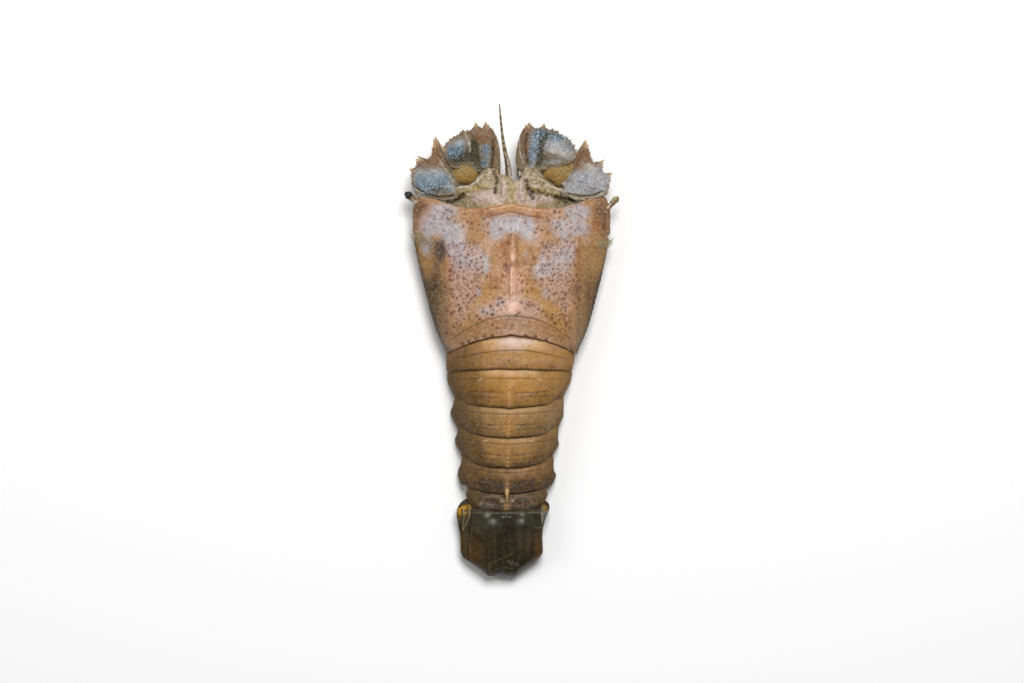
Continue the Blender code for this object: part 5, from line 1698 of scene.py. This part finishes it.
# How far out and how far along from its root each right leg's knee lies; radii along a leg.
LEG_KNEES = [(29.6, 2.2), (29.2, 1), (28, -0.2), (26, -1.2), (23.4, -1.6)]
LEG_RADII = [2.8, 2.3, 2.6, 2.3, 2, 1.8, 1.5, 1.4, 1.2, 0.3]
JAW_LEG = [(3.4, 41, 4.4), (3.6, 47, 4.8), (3.2, 52, 5.6), (2.2, 55.5, 6.4)]
JAW_LEG_RADII = [2.6, 2.4, 1.8, 0.7]


def leg_path(number, side):
    """From the root out to the knee and back in beneath, as the leg lies folded."""
    root_x, root_y = 10.4, 37 - 8.6 * number
    out, along = LEG_KNEES[number][0] - root_x, LEG_KNEES[number][1]
    way = [
        (0, 0, 5.9), (0.16, 0.1, 6.1), (0.45, 0.35, 6.2), (0.76, 0.8, 6.1), (0.93, 1, 5.3), (1, 1, 3.8),
        (0.95, 1, 2.3), (0.78, 0.9, 1.6), (0.4, 0.6, 1.4), (0.08, 0.4, 1.1),
    ]
    return [(side * (root_x + a * out), root_y + b * along, z) for a, b, z in way]


def jointed(run, angle, length):
    """Narrowed and darker at each joint, with fine lines along the limb."""
    places = np.array([0.1, 0.38, 0.54, 0.76, 0.9]) * length
    joints = sum(bell(run - place, 0.45) for place in places)
    lines = np.sin(6 * angle + 0.3 * np.sin(run))
    claw = ramp(run, length - 3.2, length - 2.2)
    spots = bell(np.sin(run * 1.7 + 2 * angle), 0.22) * bell(np.cos(3 * angle + run), 0.4)
    masks = {"joint": joints, "claw": claw, "spot": spots, "back": ramp(np.cos(angle), -0.2, 0.8)}
    return 0.05 * lines - 0.35 * joints, masks


# Smooth hard chitin kept wet under the shield: ochre, browner on its back, dark at the claws.
LEG_FINISH = chitin(
    "ochre_leg_chitin", "#b08f52",
    [
        ("back", "#8c6b38", 0.6, 0.3), ("spot", "#5d3d20", 0.6, 0.1), ("joint", "#6e5230", 0.8, 0.2),
        ("claw", "#3a2818", 0.85, 0.1),
    ],
    grain=[(2.5, "#7d6a42", 0.5, 0.75, 0.4), (0.7, "#c9ad74", 0.55, 0.8, 0.4)],
    relief=[(0.5, 0.06), (1.5, 0.08)], roughness=(0.28, 0.45), coat=0.5, coat_roughness=0.2,
)
for side_name, side in (("left", -1), ("right", 1)):
    for number in range(5):
        node = f"leg_{side_name}_{number + 1}"
        limb("walking_" + node, node, leg_path(number, side), LEG_RADII, jointed, LEG_FINISH, 110, 20)
    node = f"jaw_leg_{side_name}"
    path = [(side * x, y, z) for x, y, z in JAW_LEG]
    limb("folded_" + node, node, path, JAW_LEG_RADII, jointed, LEG_FINISH, 70, 20)


# --------------------------------------
# Breast plate. Between the leg roots lies a flat, hard plate of five pale segments, with a
# shallow groove between each two and one down the middle. The animal rests on it.


def build_breast_plate(columns=90, rows=150):
    """Depth over plan, seen from below, between two straight sides that splay a little."""
    low, high = (np.array(corner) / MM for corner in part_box("breast_plate"))
    segment = 8.6
    s = np.linspace(1, -1, columns)[None, :] + np.zeros((rows, 1))
    y = low[1] + (high[1] - low[1]) * np.linspace(0, 1, rows)[:, None] + np.zeros((1, columns))
    half = (high[0] - 0.2) * (0.55 + 0.45 * ramp(high[1] - y, 0, 9))
    half += 0.25 * np.sin(2 * np.pi * y / segment)
    x = half * s
    seams = np.abs(((y + 0.35 * np.abs(x)) / segment) % 1 - 0.5)
    seam, middle = bell(seams, 0.045), bell(x, 0.35)
    knobs = blob(seams, np.abs(x), (0.42, 5.4), (0.12, 1.4))
    z = (
        0.12 + 0.55 * seam + 0.4 * middle + 1.6 * ramp(np.abs(s), 0.86, 1) - 0.08 * knobs
        + 0.04 * uneven(x, y, 2, 600)
    )
    masks = {
        "seam": seam + middle + 0.2 * uneven(x, y, 2, 601), "rim": ramp(np.abs(s), 0.7, 1),
        "knob": knobs + 0.3 * uneven(x, y, 3, 602),
    }
    rim = rim_of(np.stack([x, y, z], axis=-1))

    def under(k):
        """Up the inner side and across the top, where the plate joins the body."""
        centre = np.array([0, (low[1] + high[1]) / 2])
        level = high[2] if k < 1 else high[2] - 1.5
        return np.column_stack([centre + (rim[:, :2] - centre) * k, np.full(len(rim), level)])

    plate(
        "breast_plate_segments", np.stack([x, y, z], axis=-1), under, masks, BREAST_FINISH,
        ["breast_plate"], (1, 0.92, 0.5, 0.1), sharp=60,
    )


# Pale shell, smooth and a little worn by the ground: half matt, brown in the grooves.
BREAST_FINISH = chitin(
    "pale_breast_shell", "#c3a67b",
    [
        ("knob", "#d8c19a", 0.7, 0.2), ("rim", "#a5814e", 0.7, 0.2), ("seam", "#6f5027", 0.8, 0.2),
        ("under", "#a08058", 1, 0),
    ],
    grain=[(2.2, "#9c7a48", 0.5, 0.75, 0.4), (0.6, "#7d5c30", 0.58, 0.8, 0.4)],
    relief=[(0.5, 0.06), (1.6, 0.08)], roughness=(0.35, 0.5), coat=0.2,
)
build_breast_plate()

# --------------------------------------
# Studio. A plain pale table, one large soft light ahead of the animal and to its right, a
# weaker one on the other side, and an even pale room. The camera looks straight down.

# Millimetres of the lens and its sensor, metres of table across the view, and the point aimed at.
LENS, SENSOR = 100.0, 36.0
VIEW_WIDTH = 0.4096
AIM = (0.0002, -0.0006, 0.015)


def studio():
    """The table just under the lowest point, lights, room and a camera as high above the point
    aimed at as makes the view that wide."""
    mesh = bpy.data.meshes.new("table")
    half = 3.0
    corners = [(-half, -half, 0), (half, -half, 0), (half, half, 0), (-half, half, 0)]
    mesh.from_pydata(corners, [], [(0, 1, 2, 3)])
    table = bpy.data.objects.new("table", mesh)
    bpy.context.scene.collection.objects.link(table)
    table.location.z = cad_low.z - 0.0001
    # Plain uncoated paper: almost white, with no gloss at all.
    paper = bpy.data.materials.new("white_paper")
    paper.use_nodes = True
    surface = paper.node_tree.nodes["Principled BSDF"].inputs
    surface["Base Color"].default_value = (0.93, 0.93, 0.93, 1)
    surface["Roughness"].default_value = 0.9
    mesh.materials.append(paper)
    for name, place, size, power in (
        ("key_light", (0.14, 0.50, 1.15), 0.5, 15.5),
        ("fill_light", (-0.75, 0.25, 0.9), 0.6, 2.5),
    ):
        light = bpy.data.lights.new(name, "AREA")
        light.shape, light.size, light.energy = "SQUARE", size, power
        lamp = bpy.data.objects.new(name, light)
        lamp.location = place
        lamp.rotation_euler = (-lamp.location).to_track_quat("-Z", "Y").to_euler()
        bpy.context.scene.collection.objects.link(lamp)
    world = bpy.data.worlds.new("room")
    world.use_nodes = True
    background = world.node_tree.nodes["Background"].inputs
    background["Color"].default_value = (1, 1, 1, 1)
    background["Strength"].default_value = 0.17
    bpy.context.scene.world = world
    bpy.context.scene.view_settings.view_transform = "Standard"
    camera = bpy.data.cameras.new("camera")
    camera.lens, camera.sensor_width = LENS, SENSOR
    camera.clip_start = 0.01
    eye = bpy.data.objects.new("camera", camera)
    eye.location = (AIM[0], AIM[1], AIM[2] + VIEW_WIDTH * LENS / SENSOR)
    bpy.context.scene.collection.objects.link(eye)
    bpy.context.scene.camera = eye


studio()
